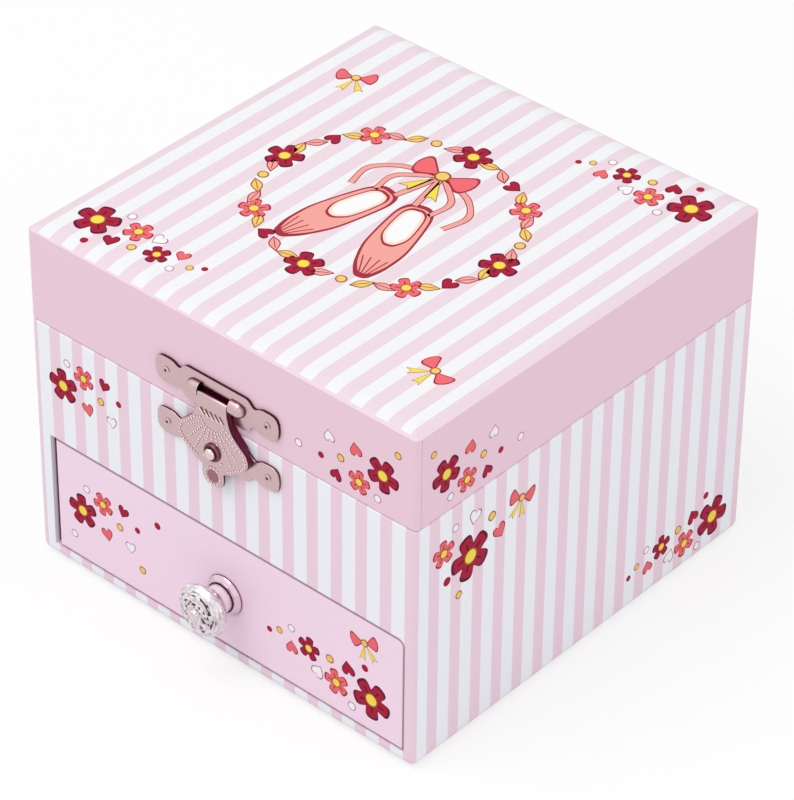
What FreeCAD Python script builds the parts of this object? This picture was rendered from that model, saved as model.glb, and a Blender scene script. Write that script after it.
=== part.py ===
"""Ballerina jewellery box: a paper-covered board case with a hinged lid, a hasp latch, a drawer and
a clockwork dancer. Millimetres, origin at the centre of the underside, drawer to -Y, +Z up."""
import FreeCAD, Part
import math
import os
from FreeCAD import Vector

# Case and lid, outside
BOX_WIDTH = 110.0
BOX_DEPTH = 110.0
CASE_HEIGHT = 63.6
LID_HEIGHT = 22.8
SEAM_GAP = 0.2
EDGE_RADIUS = 1.1
LID_CROWN = 1.2
LID_SLOPE = 3.0
LID_CREST_RADIUS = 8.0
CASE_FOOT_RADIUS = 2.6
RIM_RADIUS = 0.4

# Sheets and boards
PAPER = 0.3
BOARD = 3.7
BASE_BOARD = 3.5
SHELF_BOARD = 3.0
PARTITION_BOARD = 3.0
DIVIDER_BOARD = 2.5
LINING = 0.8
LID_LINING = 1.0
SHEET_GAP = 0.05

# Upper well and lid inside
LINING_BELOW_RIM = 0.8
DIVIDER_HEIGHT = 14.0
DIVIDER_BEFORE_SPINDLE = 17.0
MIRROR_MARGIN = 11.0
MIRROR_THICKNESS = 1.8

# Drawer
DRAWER_BAY_HEIGHT = 30.2
MOVEMENT_BAY_DEPTH = 41.0
DRAWER_OFFSET = 0.95
DRAWER_SIDE_GAP = 0.5
DRAWER_MOUTH_GAP = 0.2
DRAWER_TOP_GAP = 0.35
DRAWER_FLOOR_GAP = 0.3
DRAWER_END_GAP = 2.2
DRAWER_FRONT_THICKNESS = 4.0
DRAWER_FRONT_ROUNDING = 0.6
DRAWER_CORNER_RADIUS = 1.7
DRAWER_RIGHT_LAP = 0.75
DRAWER_BOARD = 2.5
DRAWER_BOTTOM_BOARD = 2.0
DRAWER_LINING = 0.6
DRAWER_WALL_BELOW_FRONT = 6.0
DRAWER_LINING_BELOW_WALL = 0.6
DRAWER_WALL_INSET = 0.8

# Drawer knob
KNOB_OFFSET = 0.4
KNOB_ABOVE_FRONT_EDGE = 14.0
ROSETTE_RADIUS = 4.9
ROSETTE_STEP_RADIUS = 3.9
ROSETTE_STEP = 0.8
KNOB_NECK_RADIUS = 3.3
KNOB_NECK_LENGTH = 2.4
CRYSTAL_RADIUS = 6.5
CRYSTAL_TABLE_RADIUS = 2.1
CRYSTAL_DEPTH = 6.2
CRYSTAL_FACETS = 12
CRYSTAL_FOOT = 0.6
CRYSTAL_RING_SHARES = ((0.94, 0.36), (1.0, 0.48), (0.9, 0.66), (0.62, 0.88))
KNOB_SCREW_RADIUS = 0.9
KNOB_SCREW_HEAD_RADIUS = 2.4
KNOB_SCREW_HEAD = 1.0
KNOB_SCREW_IN_CRYSTAL = 3.0

# Hasp latch
LATCH_OFFSET = 0.6
LATCH_SPAN = 35.0
LATCH_LOBE_RADIUS = 3.15
LATCH_NECK_HEIGHT = 4.4
LATCH_BLOCK_WIDTH = 17.6
LATCH_BLOCK_HEIGHT = 7.6
LATCH_SCALLOP_RADIUS = 1.9
LATCH_SCALLOP_DROP = 0.6
LATCH_PLATE = 0.7
HASP_AXIS_ABOVE_LID_EDGE = 6.8
HASP_AXIS_PROUD = 1.6
HASP_EYE_RADIUS = 0.6
HASP_EYE_WIDTH = 8.8
HASP_PIN_RADIUS = 0.35
HASP_PIN_LENGTH = 2.2
HASP_POCKET_RADIUS = 2.2
HASP_POCKET_PROUD = 2.5
HASP_SIDE_GAP = 0.35
HASP_LEAF = 0.8
LEAF_NECK_LENGTH = 4.0
LEAF_WING_DROP = 11.8
LEAF_WING_WIDTH = 20.6
LEAF_WING_HEIGHT = 2.4
LEAF_WING_TAPER = 0.9
LEAF_WING_BULGE = 0.15
LEAF_SWEEP_SHARES = (0.36, 0.55)
LEAF_SHOULDER_DROP = 17.2
LEAF_SHOULDER_WIDTH = 8.6
LEAF_TONGUE_DROP = 19.6
LEAF_TONGUE_RADIUS = 3.0
STUD_DROP = 13.4
STUD_RADIUS = 1.4
STUD_HEIGHT = 1.4
STUD_COLLAR_RADIUS = 1.95
STUD_COLLAR = 0.3
STUD_TAIL_RADIUS = 1.0
STUD_TAIL_GAP = 0.3

# Nails of the latch and the hinges
NAIL_HEAD_RADIUS = 1.15
NAIL_HEAD_HEIGHT = 0.45
NAIL_SHANK_RADIUS = 0.45
NAIL_BITE = 2.4

# Butt hinges on the back
HINGE_INSET = 25.0
HINGE_WIDTH = 14.0
HINGE_LEAF = 0.6
HINGE_LEAF_HEIGHT = 9.0
HINGE_NAIL_SPACING = 8.0
KNUCKLE_RADIUS = 1.3
KNUCKLE_GAP = 0.12
HINGE_MIDDLE_KNUCKLE = 5.0
HINGE_PIN_RADIUS = 0.6
HINGE_STAND_OFF = 0.1

# Clockwork
RUNNING_FIT = 0.05
BED = 2.5
BED_EDGE_GAP = 0.6
BARREL_OVER_BED = 1.0
BARREL_UNDER_SHELF = 2.3
BARREL_LENGTH = 11.0
BARREL_WALL = 1.2
BARREL_FRONT_WALL = 1.4
BARREL_HUB_RADIUS = 3.2
BARREL_END_PLAY = 0.5
UPRIGHT = 2.5
UPRIGHT_WIDTH = 14.0
UPRIGHT_WALL_GAP = 2.0
CROWN_TEETH = 24
PINION_TEETH = 8
CROWN_FACE = 2.4
CROWN_RIM = 0.5
ARBOR_RADIUS = 2.0
ARBOR_COLLAR = 0.8
SPRING_STRIP = 0.35
SPRING_COILS = 5
SPRING_GAP = 0.5
CYLINDER_RADIUS = 5.5
CYLINDER_ARBOR_RADIUS = 1.0
CYLINDER_PIN_RADIUS = 0.3
CYLINDER_PIN_HEIGHT = 0.6
CYLINDER_PIN_ROWS = 9
TUNE_STEPS = 24
POST = 1.5
POST_MARGIN = 1.6
PINION_TO_POST = 1.4
POST_TO_DRUM = 0.6
WHEEL_GAP = 0.8
GREAT_WHEEL_TEETH = 40
GREAT_WHEEL_MODULE = 0.4
GREAT_WHEEL_FACE = 1.4
GOVERNOR_TEETH = 8
GOVERNOR_DIRECTION = 50.0
GOVERNOR_ARBOR_RADIUS = 0.6
FAN_LENGTH = 4.4
FAN_RADIUS = 4.5
FAN_BLADE = 0.5
BRAKE_DISC_RADIUS = 3.0
BRAKE_DISC = 1.2
MOVEMENT_SIDE_GAP = 3.7
COMB_GAP = 0.3
COMB_THICKNESS = 1.0
COMB_BACK_GAP = 1.4
COMB_SEAT = 5.0
COMB_SLOT = 0.3
SCREW_RADIUS = 0.7
SCREW_HEAD_RADIUS = 1.4
SCREW_HEAD = 0.7
SCREW_BITE = 2.0
SCREW_INSET = 2.4

# Tooth shapes: heights in modules, widths as shares of the pitch
TOOTH_TIP_HEIGHT = 0.8
TOOTH_ROOT_DEPTH = 1.03
TOOTH_TIP_SHARE = 0.22
PINION_ROOT_SHARE = 0.49
WHEEL_ROOT_SHARE = 0.54
CROWN_TOOTH_HEIGHT = 1.83
CROWN_MESH_DEPTH = 0.46
CROWN_FOOT_SHARE = 0.32
CROWN_TIP_SHARE = 0.20

# Winding key
KEY_GAP = 0.6
KEY_HUB_RADIUS = 3.4
KEY_HUB_LENGTH = 5.0
KEY_WING_RADIUS = 4.4
KEY_WING_OFFSET = 5.2
KEY_WING = 1.4
KEY_HOLE_CLEARANCE = 0.6

# Dancer; shares are of the figure's height
SPINDLE_RADIUS = 1.2
BUSH_RADIUS = 2.6
BUSH_FLANGE_RADIUS = 4.0
BUSH_FLANGE = 0.6
BUSH_BELOW_SHELF = 0.8
TURNTABLE_GAP = 0.5
TURNTABLE_RADIUS = 8.0
TURNTABLE = 1.6
SPRING_SLEEVE_RADIUS = 2.0
SPRING_HEIGHT = 6.0
DANCER_HEADROOM = 1.2
HIP_SHARE = 0.42
WAIST_SHARE = 0.52
CHEST_SHARE = 0.60
ARMPIT_SHARE = 0.63
SHOULDER_SHARE = 0.66
CHIN_SHARE = 0.71
ELBOW_SHARE = 0.82
HAND_SPACING = 1.8
LEG_RADIUS = 1.25
FOOT_RADIUS = 0.55
HIP_RADIUS = 2.2
WAIST_RADIUS = 1.5
CHEST_RADIUS = 2.0
NECK_RADIUS = 0.8
HEAD_RADIUS = 2.2
BUN_RADIUS = 1.0
ARM_RADIUS = 0.55
ARM_REACH = 5.2
TUTU_RADIUS = 11.0
TUTU_THICKNESS = 0.9
TUTU_FALL = 1.8
TUTU_GAP = 0.15

# Stop rod
ROD_RADIUS = 0.8
ROD_END_GAP = 0.3
ROD_SHOE = 0.8

# Levels and walls worked out from the sizes above
half_width = BOX_WIDTH / 2
half_depth = BOX_DEPTH / 2
wall = PAPER + BOARD
inner_x = half_width - wall
inner_y = half_depth - wall
base_top = PAPER + BASE_BOARD
shelf_bottom = base_top + DRAWER_BAY_HEIGHT
shelf_top = shelf_bottom + SHELF_BOARD
well_floor = shelf_top + LINING
lid_bottom = CASE_HEIGHT + SEAM_GAP
lid_fold = lid_bottom + LID_HEIGHT
lid_top = lid_fold + LID_CROWN
lid_ceiling = lid_fold - wall
lining_bottom = lid_ceiling - LID_LINING
mirror_bottom = lining_bottom - MIRROR_THICKNESS
partition_back = inner_y - MOVEMENT_BAY_DEPTH
partition_front = partition_back - PARTITION_BOARD

# Wheels: the barrel fills the height of its bay, and the crown on it sets the module
bed_top = base_top + BED
barrel_radius = (DRAWER_BAY_HEIGHT - BED - BARREL_OVER_BED - BARREL_UNDER_SHELF) / 2
barrel_z = bed_top + BARREL_OVER_BED + barrel_radius
crown_radius = barrel_radius - CROWN_RIM - CROWN_FACE / 2
crown_module = 2 * crown_radius / CROWN_TEETH
crown_pitch = math.pi * crown_module
crown_height = CROWN_TOOTH_HEIGHT * crown_module
pinion_radius = crown_module * PINION_TEETH / 2
upright_back = inner_y - UPRIGHT_WALL_GAP
upright_front = upright_back - UPRIGHT
barrel_back = upright_front - BARREL_END_PLAY
barrel_front = barrel_back - BARREL_LENGTH
train_y = barrel_front - crown_height - pinion_radius + CROWN_MESH_DEPTH * crown_module

# Places along the cylinder, from the crown to the right wall
left_post = crown_radius + CROWN_FACE / 2 + PINION_TO_POST
drum_start = left_post + POST + POST_TO_DRUM
outer_post = inner_x - MOVEMENT_SIDE_GAP - POST
disc_start = outer_post - WHEEL_GAP - BRAKE_DISC
fan_start = disc_start - WHEEL_GAP - FAN_LENGTH
right_post = fan_start - WHEEL_GAP - POST
great_wheel_start = right_post - WHEEL_GAP - GREAT_WHEEL_FACE
drum_end = great_wheel_start - WHEEL_GAP
great_wheel_radius = GREAT_WHEEL_MODULE * GREAT_WHEEL_TEETH / 2
governor_radius = GREAT_WHEEL_MODULE * GOVERNOR_TEETH / 2
governor_reach = great_wheel_radius + governor_radius
governor_y = train_y + governor_reach * math.cos(math.radians(GOVERNOR_DIRECTION))
governor_z = barrel_z + governor_reach * math.sin(math.radians(GOVERNOR_DIRECTION))
comb_tip = train_y - CYLINDER_RADIUS - CYLINDER_PIN_HEIGHT - COMB_GAP
comb_back = partition_back + COMB_BACK_GAP
rod_shoe_radius = BRAKE_DISC / 2 + WHEEL_GAP - ROD_END_GAP

# Dancer levels
turntable_bottom = well_floor + BUSH_FLANGE + TURNTABLE_GAP
turntable_top = turntable_bottom + TURNTABLE
foot_z = turntable_top + SPRING_HEIGHT
figure_height = mirror_bottom - DANCER_HEADROOM - foot_z

# Drawer walls
drawer_front_y = -half_depth
drawer_wall_y = drawer_front_y + DRAWER_FRONT_THICKNESS
drawer_back_y = partition_front - DRAWER_END_GAP
drawer_x = inner_x - DRAWER_SIDE_GAP
drawer_right = DRAWER_OFFSET + drawer_x + DRAWER_RIGHT_LAP
mouth_right = drawer_right + DRAWER_MOUTH_GAP
drawer_z = base_top + DRAWER_FLOOR_GAP
drawer_top = shelf_bottom - DRAWER_TOP_GAP
drawer_wall_top = drawer_top - DRAWER_WALL_BELOW_FRONT
drawer_outer_x = drawer_x - DRAWER_WALL_INSET
drawer_inner_x = drawer_outer_x - DRAWER_BOARD
drawer_floor = drawer_z + DRAWER_BOTTOM_BOARD
knob_x = DRAWER_OFFSET + KNOB_OFFSET
knob_z = drawer_z + KNOB_ABOVE_FRONT_EDGE

# Latch and hinge axes
hasp_y = -half_depth - HASP_AXIS_PROUD
hasp_z = lid_bottom + HASP_AXIS_ABOVE_LID_EDGE
leaf_front = hasp_y - HASP_EYE_RADIUS
stud_z = hasp_z - STUD_DROP
latch_lobe_x = LATCH_SPAN / 2 - LATCH_LOBE_RADIUS
hinge_y = half_depth + HINGE_STAND_OFF + KNUCKLE_RADIUS
hinge_z = CASE_HEIGHT + SEAM_GAP / 2

ALONG_X = Vector(1, 0, 0)
TO_FRONT = Vector(0, -1, 0)
TO_BACK = Vector(0, 1, 0)
UP = Vector(0, 0, 1)


def block(x_span, y_span, z_span):
    """Box between the two values of each span."""
    size = [span[1] - span[0] for span in (x_span, y_span, z_span)]
    return Part.makeBox(*size, Vector(x_span[0], y_span[0], z_span[0]))


def rod(radius, start, direction, length):
    """Round bar from start along direction."""
    return Part.makeCylinder(radius, length, start, direction)


def joined(shapes):
    """One solid from touching or overlapping shapes."""
    return shapes[0].fuse(shapes[1:]).removeSplitter()


def placed(shape, base, direction):
    """Shape made on +Z, turned to direction and set on base."""
    shape.Placement = FreeCAD.Placement(base, FreeCAD.Rotation(UP, direction))
    return shape


def turned(outline):
    """Solid of revolution about Z from points (radius, height), closed along the axis."""
    points = [Vector(radius, 0, height) for radius, height in outline]
    face = Part.Face(Part.makePolygon(points + points[:1]))
    return face.revolve(Vector(), UP, 360)


def dome(radius, height):
    """Spherical cap that stands on the XY plane."""
    rim = Vector(radius, 0, 0)
    top = Vector(0, 0, height)
    ball_radius = (radius ** 2 + height ** 2) / (2 * height)
    half_angle = math.asin(min(1.0, radius / ball_radius)) / 2
    middle = Vector(ball_radius * math.sin(half_angle), 0, height - ball_radius * (1 - math.cos(half_angle)))
    wire = Part.Wire([
        Part.Arc(rim, middle, top).toShape(),
        Part.LineSegment(top, Vector()).toShape(),
        Part.LineSegment(Vector(), rim).toShape(),
    ])
    return Part.Face(wire).revolve(Vector(), UP, 360)


def upright_block(inset, bottom, top):
    """Box body of the case or lid, set in by inset, with its upright edges rounded."""
    body = block(
        (-half_width + inset, half_width - inset),
        (-half_depth + inset, half_depth - inset),
        (bottom, top),
    )
    return body.makeFillet(EDGE_RADIUS - inset, [edge for edge in body.Edges if is_upright(edge)])


def round_level(body, level, radius):
    """Rounds the edges that lie flat at a level."""
    return body.makeFillet(radius, [edge for edge in body.Edges if lies_at(edge, level)])


def case_block(inset, bottom, top):
    """Body of the case: a well rounded foot and a finely rounded rim."""
    body = round_level(upright_block(inset, bottom, top), bottom, CASE_FOOT_RADIUS - inset)
    return round_level(body, top, RIM_RADIUS - inset)


def lid_block(inset, bottom, top):
    """Body of the lid: a finely rounded rim, and a top that slopes softly down to a fold on its four sides."""
    body = round_level(upright_block(inset, bottom, top), bottom, RIM_RADIUS - inset)
    sloped = body.cut([above_slope(inset, top, turn) for turn in (0, 90, 180, 270)])
    return round_level(sloped, top, LID_CREST_RADIUS - inset)


def above_slope(inset, top, turn):
    """Wedge above the slope of the lid's top, from the front one turned about Z in degrees."""
    out, along = (half_depth, half_width) if turn % 180 == 0 else (half_width, half_depth)
    start = out - inset - LID_SLOPE
    end = 2 * out
    low = top - (end - start) * LID_CROWN / LID_SLOPE
    points = [Vector(-2 * along, -y, z) for y, z in ((start, top), (end, low), (end, top + 1), (start, top + 1))]
    wedge = Part.Face(Part.makePolygon(points + points[:1])).extrude(ALONG_X * 4 * along)
    wedge.rotate(Vector(0, 0, 0), UP, turn)
    return wedge


def is_upright(edge):
    """True for an edge along Z."""
    box = edge.BoundBox
    return box.ZLength > box.XLength + box.YLength


def lies_at(edge, level):
    """True for an edge that lies flat at a level."""
    box = edge.BoundBox
    return abs(box.ZMin - level) < 1e-3 and abs(box.ZMax - level) < 1e-3


def round_upper_right(body, radius):
    """Rounds the corner of a body that is up and to the right, seen from the front."""
    right = body.BoundBox.XMax
    top = body.BoundBox.ZMax
    corner = [edge for edge in body.Edges if lies_at(edge, top) and edge.BoundBox.XMin > right - 1e-3]
    return body.makeFillet(radius, corner)


def gear_face(teeth, radius, root_share, phase):
    """Flat gear outline in XY with straight flanks; one tooth points along phase in degrees."""
    pitch = 2 * math.pi / teeth
    module = 2 * radius / teeth
    half_root = root_share * pitch / 2
    half_tip = TOOTH_TIP_SHARE * pitch / 2
    root = radius - TOOTH_ROOT_DEPTH * module
    tip = radius + TOOTH_TIP_HEIGHT * module
    points = []
    for tooth in range(teeth):
        middle = math.radians(phase) + tooth * pitch
        flank = [(root, -half_root), (tip, -half_tip), (tip, half_tip), (root, half_root)]
        points += [Vector(r * math.cos(middle + a), r * math.sin(middle + a), 0) for r, a in flank]
    return Part.Face(Part.makePolygon(points + points[:1]))


def gear_along_x(teeth, radius, root_share, phase, start, face):
    """Gear about an X axis; its phase is measured from +Y towards +Z."""
    gear = gear_face(teeth, radius, root_share, phase).extrude(Vector(0, 0, face))
    turn = FreeCAD.Rotation(Vector(0, 1, 0), Vector(0, 0, 1), Vector(1, 0, 0), "ZXY")
    gear.Placement = FreeCAD.Placement(start, turn)
    return gear


def nail(base, outward, through):
    """Domed nail whose head sits on base; its shank goes through plates and bites into the board."""
    head = dome(NAIL_HEAD_RADIUS, NAIL_HEAD_HEIGHT)
    depth = through + NAIL_BITE
    shank = rod(NAIL_SHANK_RADIUS, Vector(0, 0, -depth), UP, depth)
    return placed(joined([head, shank]), base, outward)


def screw(base, bite):
    """Flat-headed screw that stands on base and goes down into what lies below."""
    head = rod(SCREW_HEAD_RADIUS, base, UP, SCREW_HEAD)
    return joined([head, rod(SCREW_RADIUS, base - UP * bite, UP, bite)])


def drill(nodes, names, tools):
    """Cuts the tools out of the named pieces."""
    for name in names:
        nodes[name] = nodes[name].cut(tools)


def case_boards(nodes):
    """Boards of the case, its paper wrap and the paper under its base."""
    outer = case_block(0, 0, CASE_HEIGHT)
    core = case_block(PAPER, PAPER, CASE_HEIGHT - PAPER)
    flat_x = half_width - CASE_FOOT_RADIUS
    flat_y = half_depth - CASE_FOOT_RADIUS
    well = block((-inner_x, inner_x), (-inner_y, inner_y), (shelf_bottom, CASE_HEIGHT + 1))
    mouth_back = drawer_wall_y + DRAWER_MOUTH_GAP
    mouth = round_upper_right(
        block((-inner_x, mouth_right), (-half_depth - 1, mouth_back), (base_top, shelf_bottom)),
        DRAWER_CORNER_RADIUS + DRAWER_MOUTH_GAP)
    under = block((-flat_x, flat_x), (-flat_y, flat_y), (-1, PAPER))
    nodes["case_wrap"] = outer.cut([core, well, mouth, under])
    nodes["base_paper"] = block(
        (SHEET_GAP - flat_x, flat_x - SHEET_GAP), (SHEET_GAP - flat_y, flat_y - SHEET_GAP), (0, PAPER))

    rim = CASE_HEIGHT
    sides = (-half_depth, half_depth)
    walls = {
        "case_base_board": block((-half_width, half_width), sides, (0, base_top)),
        "case_left_board": block((-half_width, -inner_x), sides, (base_top, rim)),
        "case_right_board": block((inner_x, half_width), sides, (base_top, rim)).cut(mouth),
        "case_back_board": block((-inner_x, inner_x), (inner_y, half_depth), (base_top, rim)),
        "case_front_board": block((-inner_x, inner_x), (-half_depth, -inner_y), (shelf_bottom, rim)),
    }
    for name, board in walls.items():
        nodes[name] = board.common(core)
    across = (-inner_x, inner_x)
    nodes["mid_shelf"] = block(across, (-inner_y, inner_y), (shelf_bottom, shelf_top))
    nodes["drawer_bay_partition"] = block(
        across, (partition_front, partition_back), (base_top, shelf_bottom))


def well_fittings(nodes):
    """Lining and divider of the upper well."""
    lining_top = CASE_HEIGHT - LINING_BELOW_RIM
    nodes["well_floor_lining"] = block((-inner_x, inner_x), (-inner_y, inner_y), (shelf_top, well_floor))
    outer = block((-inner_x, inner_x), (-inner_y, inner_y), (well_floor, lining_top))
    lined_x = inner_x - LINING
    lined_y = inner_y - LINING
    hollow = block((-lined_x, lined_x), (-lined_y, lined_y), (well_floor, lining_top))
    nodes["well_wall_lining"] = outer.cut(hollow)
    divider_back = train_y - DIVIDER_BEFORE_SPINDLE
    nodes["well_divider"] = block(
        (-lined_x, lined_x), (divider_back - DIVIDER_BOARD, divider_back),
        (well_floor, well_floor + DIVIDER_HEIGHT))


def lid_boards(nodes):
    """Boards of the lid, its paper wrap, lining and mirror."""
    outer = lid_block(0, lid_bottom, lid_top)
    core = lid_block(PAPER, lid_bottom + PAPER, lid_top - PAPER)
    hollow = block((-inner_x, inner_x), (-inner_y, inner_y), (lid_bottom - 1, lid_ceiling))
    nodes["lid_wrap"] = outer.cut([core, hollow])

    sides = (-half_depth, half_depth)
    height = (lid_bottom, lid_ceiling)
    walls = {
        "lid_top_board": block((-half_width, half_width), sides, (lid_ceiling, lid_top)),
        "lid_left_rail": block((-half_width, -inner_x), sides, height),
        "lid_right_rail": block((inner_x, half_width), sides, height),
        "lid_front_rail": block((-inner_x, inner_x), (-half_depth, -inner_y), height),
        "lid_back_rail": block((-inner_x, inner_x), (inner_y, half_depth), height),
    }
    for name, board in walls.items():
        nodes[name] = board.common(core)
    nodes["lid_lining"] = block((-inner_x, inner_x), (-inner_y, inner_y), (lining_bottom, lid_ceiling))
    mirror_x = inner_x - MIRROR_MARGIN
    mirror_y = inner_y - MIRROR_MARGIN
    nodes["lid_mirror"] = block(
        (-mirror_x, mirror_x), (-mirror_y, mirror_y), (mirror_bottom, lining_bottom))


def drawer(nodes):
    """Drawer box, its lining and the knob with its screw."""
    def span(half):
        return (DRAWER_OFFSET - half, DRAWER_OFFSET + half)

    front = round_upper_right(
        block((DRAWER_OFFSET - drawer_x, drawer_right), (drawer_front_y, drawer_wall_y), (drawer_z, drawer_top)),
        DRAWER_CORNER_RADIUS)
    face_edges = [edge for edge in front.Edges if edge.BoundBox.YMax < drawer_front_y + 1e-3]
    nodes["drawer_front"] = front.makeFillet(DRAWER_FRONT_ROUNDING, face_edges)
    length = (drawer_wall_y, drawer_back_y)
    height = (drawer_z, drawer_wall_top)
    left, right = span(drawer_outer_x)
    across = span(drawer_inner_x)
    nodes["drawer_left_side"] = block((left, across[0]), length, height)
    nodes["drawer_right_side"] = block((across[1], right), length, height)
    inner_back = drawer_back_y - DRAWER_BOARD
    nodes["drawer_back"] = block(across, (inner_back, drawer_back_y), height)
    nodes["drawer_bottom"] = block(across, (drawer_wall_y, inner_back), (drawer_z, drawer_floor))
    lining_top = drawer_wall_top - DRAWER_LINING_BELOW_WALL
    tray = block(across, (drawer_wall_y, inner_back), (drawer_floor, lining_top))
    tray_x = drawer_inner_x - DRAWER_LINING
    hollow = block(
        span(tray_x), (drawer_wall_y + DRAWER_LINING, inner_back - DRAWER_LINING),
        (drawer_floor + DRAWER_LINING, lining_top))
    nodes["drawer_lining"] = tray.cut(hollow)

    face = Vector(knob_x, drawer_front_y, knob_z)
    rosette_height = 2 * ROSETTE_STEP
    neck_top = rosette_height + KNOB_NECK_LENGTH
    rosette = turned([
        (0, 0), (ROSETTE_RADIUS, 0), (ROSETTE_RADIUS - ROSETTE_STEP / 2, ROSETTE_STEP),
        (ROSETTE_STEP_RADIUS, ROSETTE_STEP), (ROSETTE_STEP_RADIUS - ROSETTE_STEP / 2, rosette_height),
        (KNOB_NECK_RADIUS, rosette_height), (KNOB_NECK_RADIUS, neck_top), (0, neck_top),
    ])
    nodes["knob_rosette"] = placed(rosette, face, TO_FRONT)
    nodes["knob_crystal"] = placed(crystal(), face + TO_FRONT * neck_top, TO_FRONT)
    inside = Vector(knob_x, drawer_wall_y, knob_z)
    shank = DRAWER_FRONT_THICKNESS + neck_top + KNOB_SCREW_IN_CRYSTAL
    nodes["knob_screw"] = joined([
        rod(KNOB_SCREW_RADIUS, inside, TO_FRONT, shank),
        rod(KNOB_SCREW_HEAD_RADIUS, inside, TO_BACK, KNOB_SCREW_HEAD),
    ])
    drill(nodes, ["drawer_front", "drawer_lining", "knob_rosette", "knob_crystal"], [nodes["knob_screw"]])


def crystal():
    """Faceted knob head on +Z: rings of corners, each half a step on from the last."""
    rings = [(KNOB_NECK_RADIUS + CRYSTAL_FOOT, 0.0)]
    rings += [(radius * CRYSTAL_RADIUS, depth * CRYSTAL_DEPTH) for radius, depth in CRYSTAL_RING_SHARES]
    rings.append((CRYSTAL_TABLE_RADIUS, CRYSTAL_DEPTH))
    corners = []
    for number, (radius, height) in enumerate(rings):
        turns = [(step + number / 2) / CRYSTAL_FACETS for step in range(CRYSTAL_FACETS)]
        angles = [2 * math.pi * turn for turn in turns]
        corners.append([Vector(radius * math.cos(a), radius * math.sin(a), height) for a in angles])
    polygons = [corners[0], corners[-1]]
    for lower, upper in zip(corners, corners[1:]):
        for step in range(CRYSTAL_FACETS):
            after = (step + 1) % CRYSTAL_FACETS
            polygons.append([lower[step], lower[after], upper[step]])
            polygons.append([upper[step], lower[after], upper[after]])
    faces = [Part.Face(Part.makePolygon(points + points[:1])) for points in polygons]
    return Part.Solid(Part.Shell(faces))


def latch_plate(level):
    """Lobed plate on the front face, centred on a level."""
    def bar(half_span, height):
        return block((LATCH_OFFSET - half_span, LATCH_OFFSET + half_span),
                     (-half_depth - LATCH_PLATE, -half_depth), (level - height / 2, level + height / 2))

    def disc(x, z, radius):
        return rod(radius, Vector(LATCH_OFFSET + x, -half_depth, level + z), TO_FRONT, LATCH_PLATE)

    scallop_x = LATCH_BLOCK_WIDTH / 2 - LATCH_SCALLOP_RADIUS
    scallop_z = LATCH_SCALLOP_RADIUS - LATCH_BLOCK_HEIGHT / 2 - LATCH_SCALLOP_DROP
    pieces = [bar(LATCH_BLOCK_WIDTH / 2, LATCH_BLOCK_HEIGHT), bar(latch_lobe_x, LATCH_NECK_HEIGHT)]
    for side in (-1, 1):
        pieces.append(disc(side * latch_lobe_x, 0, LATCH_LOBE_RADIUS))
        pieces.append(disc(side * scallop_x, scallop_z, LATCH_SCALLOP_RADIUS))
    return joined(pieces)


def latch_nails(level):
    """Two nails in the lobes of a latch plate."""
    y = -half_depth - LATCH_PLATE
    spots = [Vector(LATCH_OFFSET + side * latch_lobe_x, y, level) for side in (-1, 1)]
    return [nail(spot, TO_FRONT, LATCH_PLATE + PAPER) for spot in spots]


def leaf_outline():
    """Wire of the hasp leaf in XZ: neck, spreading wings, shoulders and a round tongue."""
    neck = HASP_EYE_WIDTH / 2
    wing = LEAF_WING_WIDTH / 2
    shoulder = LEAF_SHOULDER_WIDTH / 2
    spread = LEAF_WING_DROP - LEAF_NECK_LENGTH
    tip = LEAF_WING_DROP + LEAF_WING_HEIGHT

    def at(side, x, drop):
        return Vector(LATCH_OFFSET + side * x, leaf_front, hasp_z - drop)

    def flank(side):
        upper = [at(side, neck, 0), at(side, neck, LEAF_NECK_LENGTH)]
        out, down = LEAF_SWEEP_SHARES
        sweep = at(side, neck + out * (wing - neck), LEAF_NECK_LENGTH + down * spread)
        wing_top = at(side, wing, LEAF_WING_DROP)
        wing_low = at(side, wing - LEAF_WING_TAPER, tip)
        bulge = at(side, wing + LEAF_WING_BULGE, (LEAF_WING_DROP + tip) / 2)
        low = at(side, shoulder, LEAF_SHOULDER_DROP)
        tongue = at(side, LEAF_TONGUE_RADIUS, LEAF_TONGUE_DROP)
        return [
            Part.LineSegment(*upper).toShape(),
            Part.Arc(upper[1], sweep, wing_top).toShape(),
            Part.Arc(wing_top, bulge, wing_low).toShape(),
            Part.LineSegment(wing_low, low).toShape(),
            Part.LineSegment(low, tongue).toShape(),
        ]

    top = Part.LineSegment(at(-1, neck, 0), at(1, neck, 0)).toShape()
    bottom = Part.Arc(
        at(1, LEAF_TONGUE_RADIUS, LEAF_TONGUE_DROP),
        at(1, 0, LEAF_TONGUE_DROP + LEAF_TONGUE_RADIUS),
        at(-1, LEAF_TONGUE_RADIUS, LEAF_TONGUE_DROP)).toShape()
    return Part.Wire([top] + flank(1) + [bottom] + flank(-1)[::-1])


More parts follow.
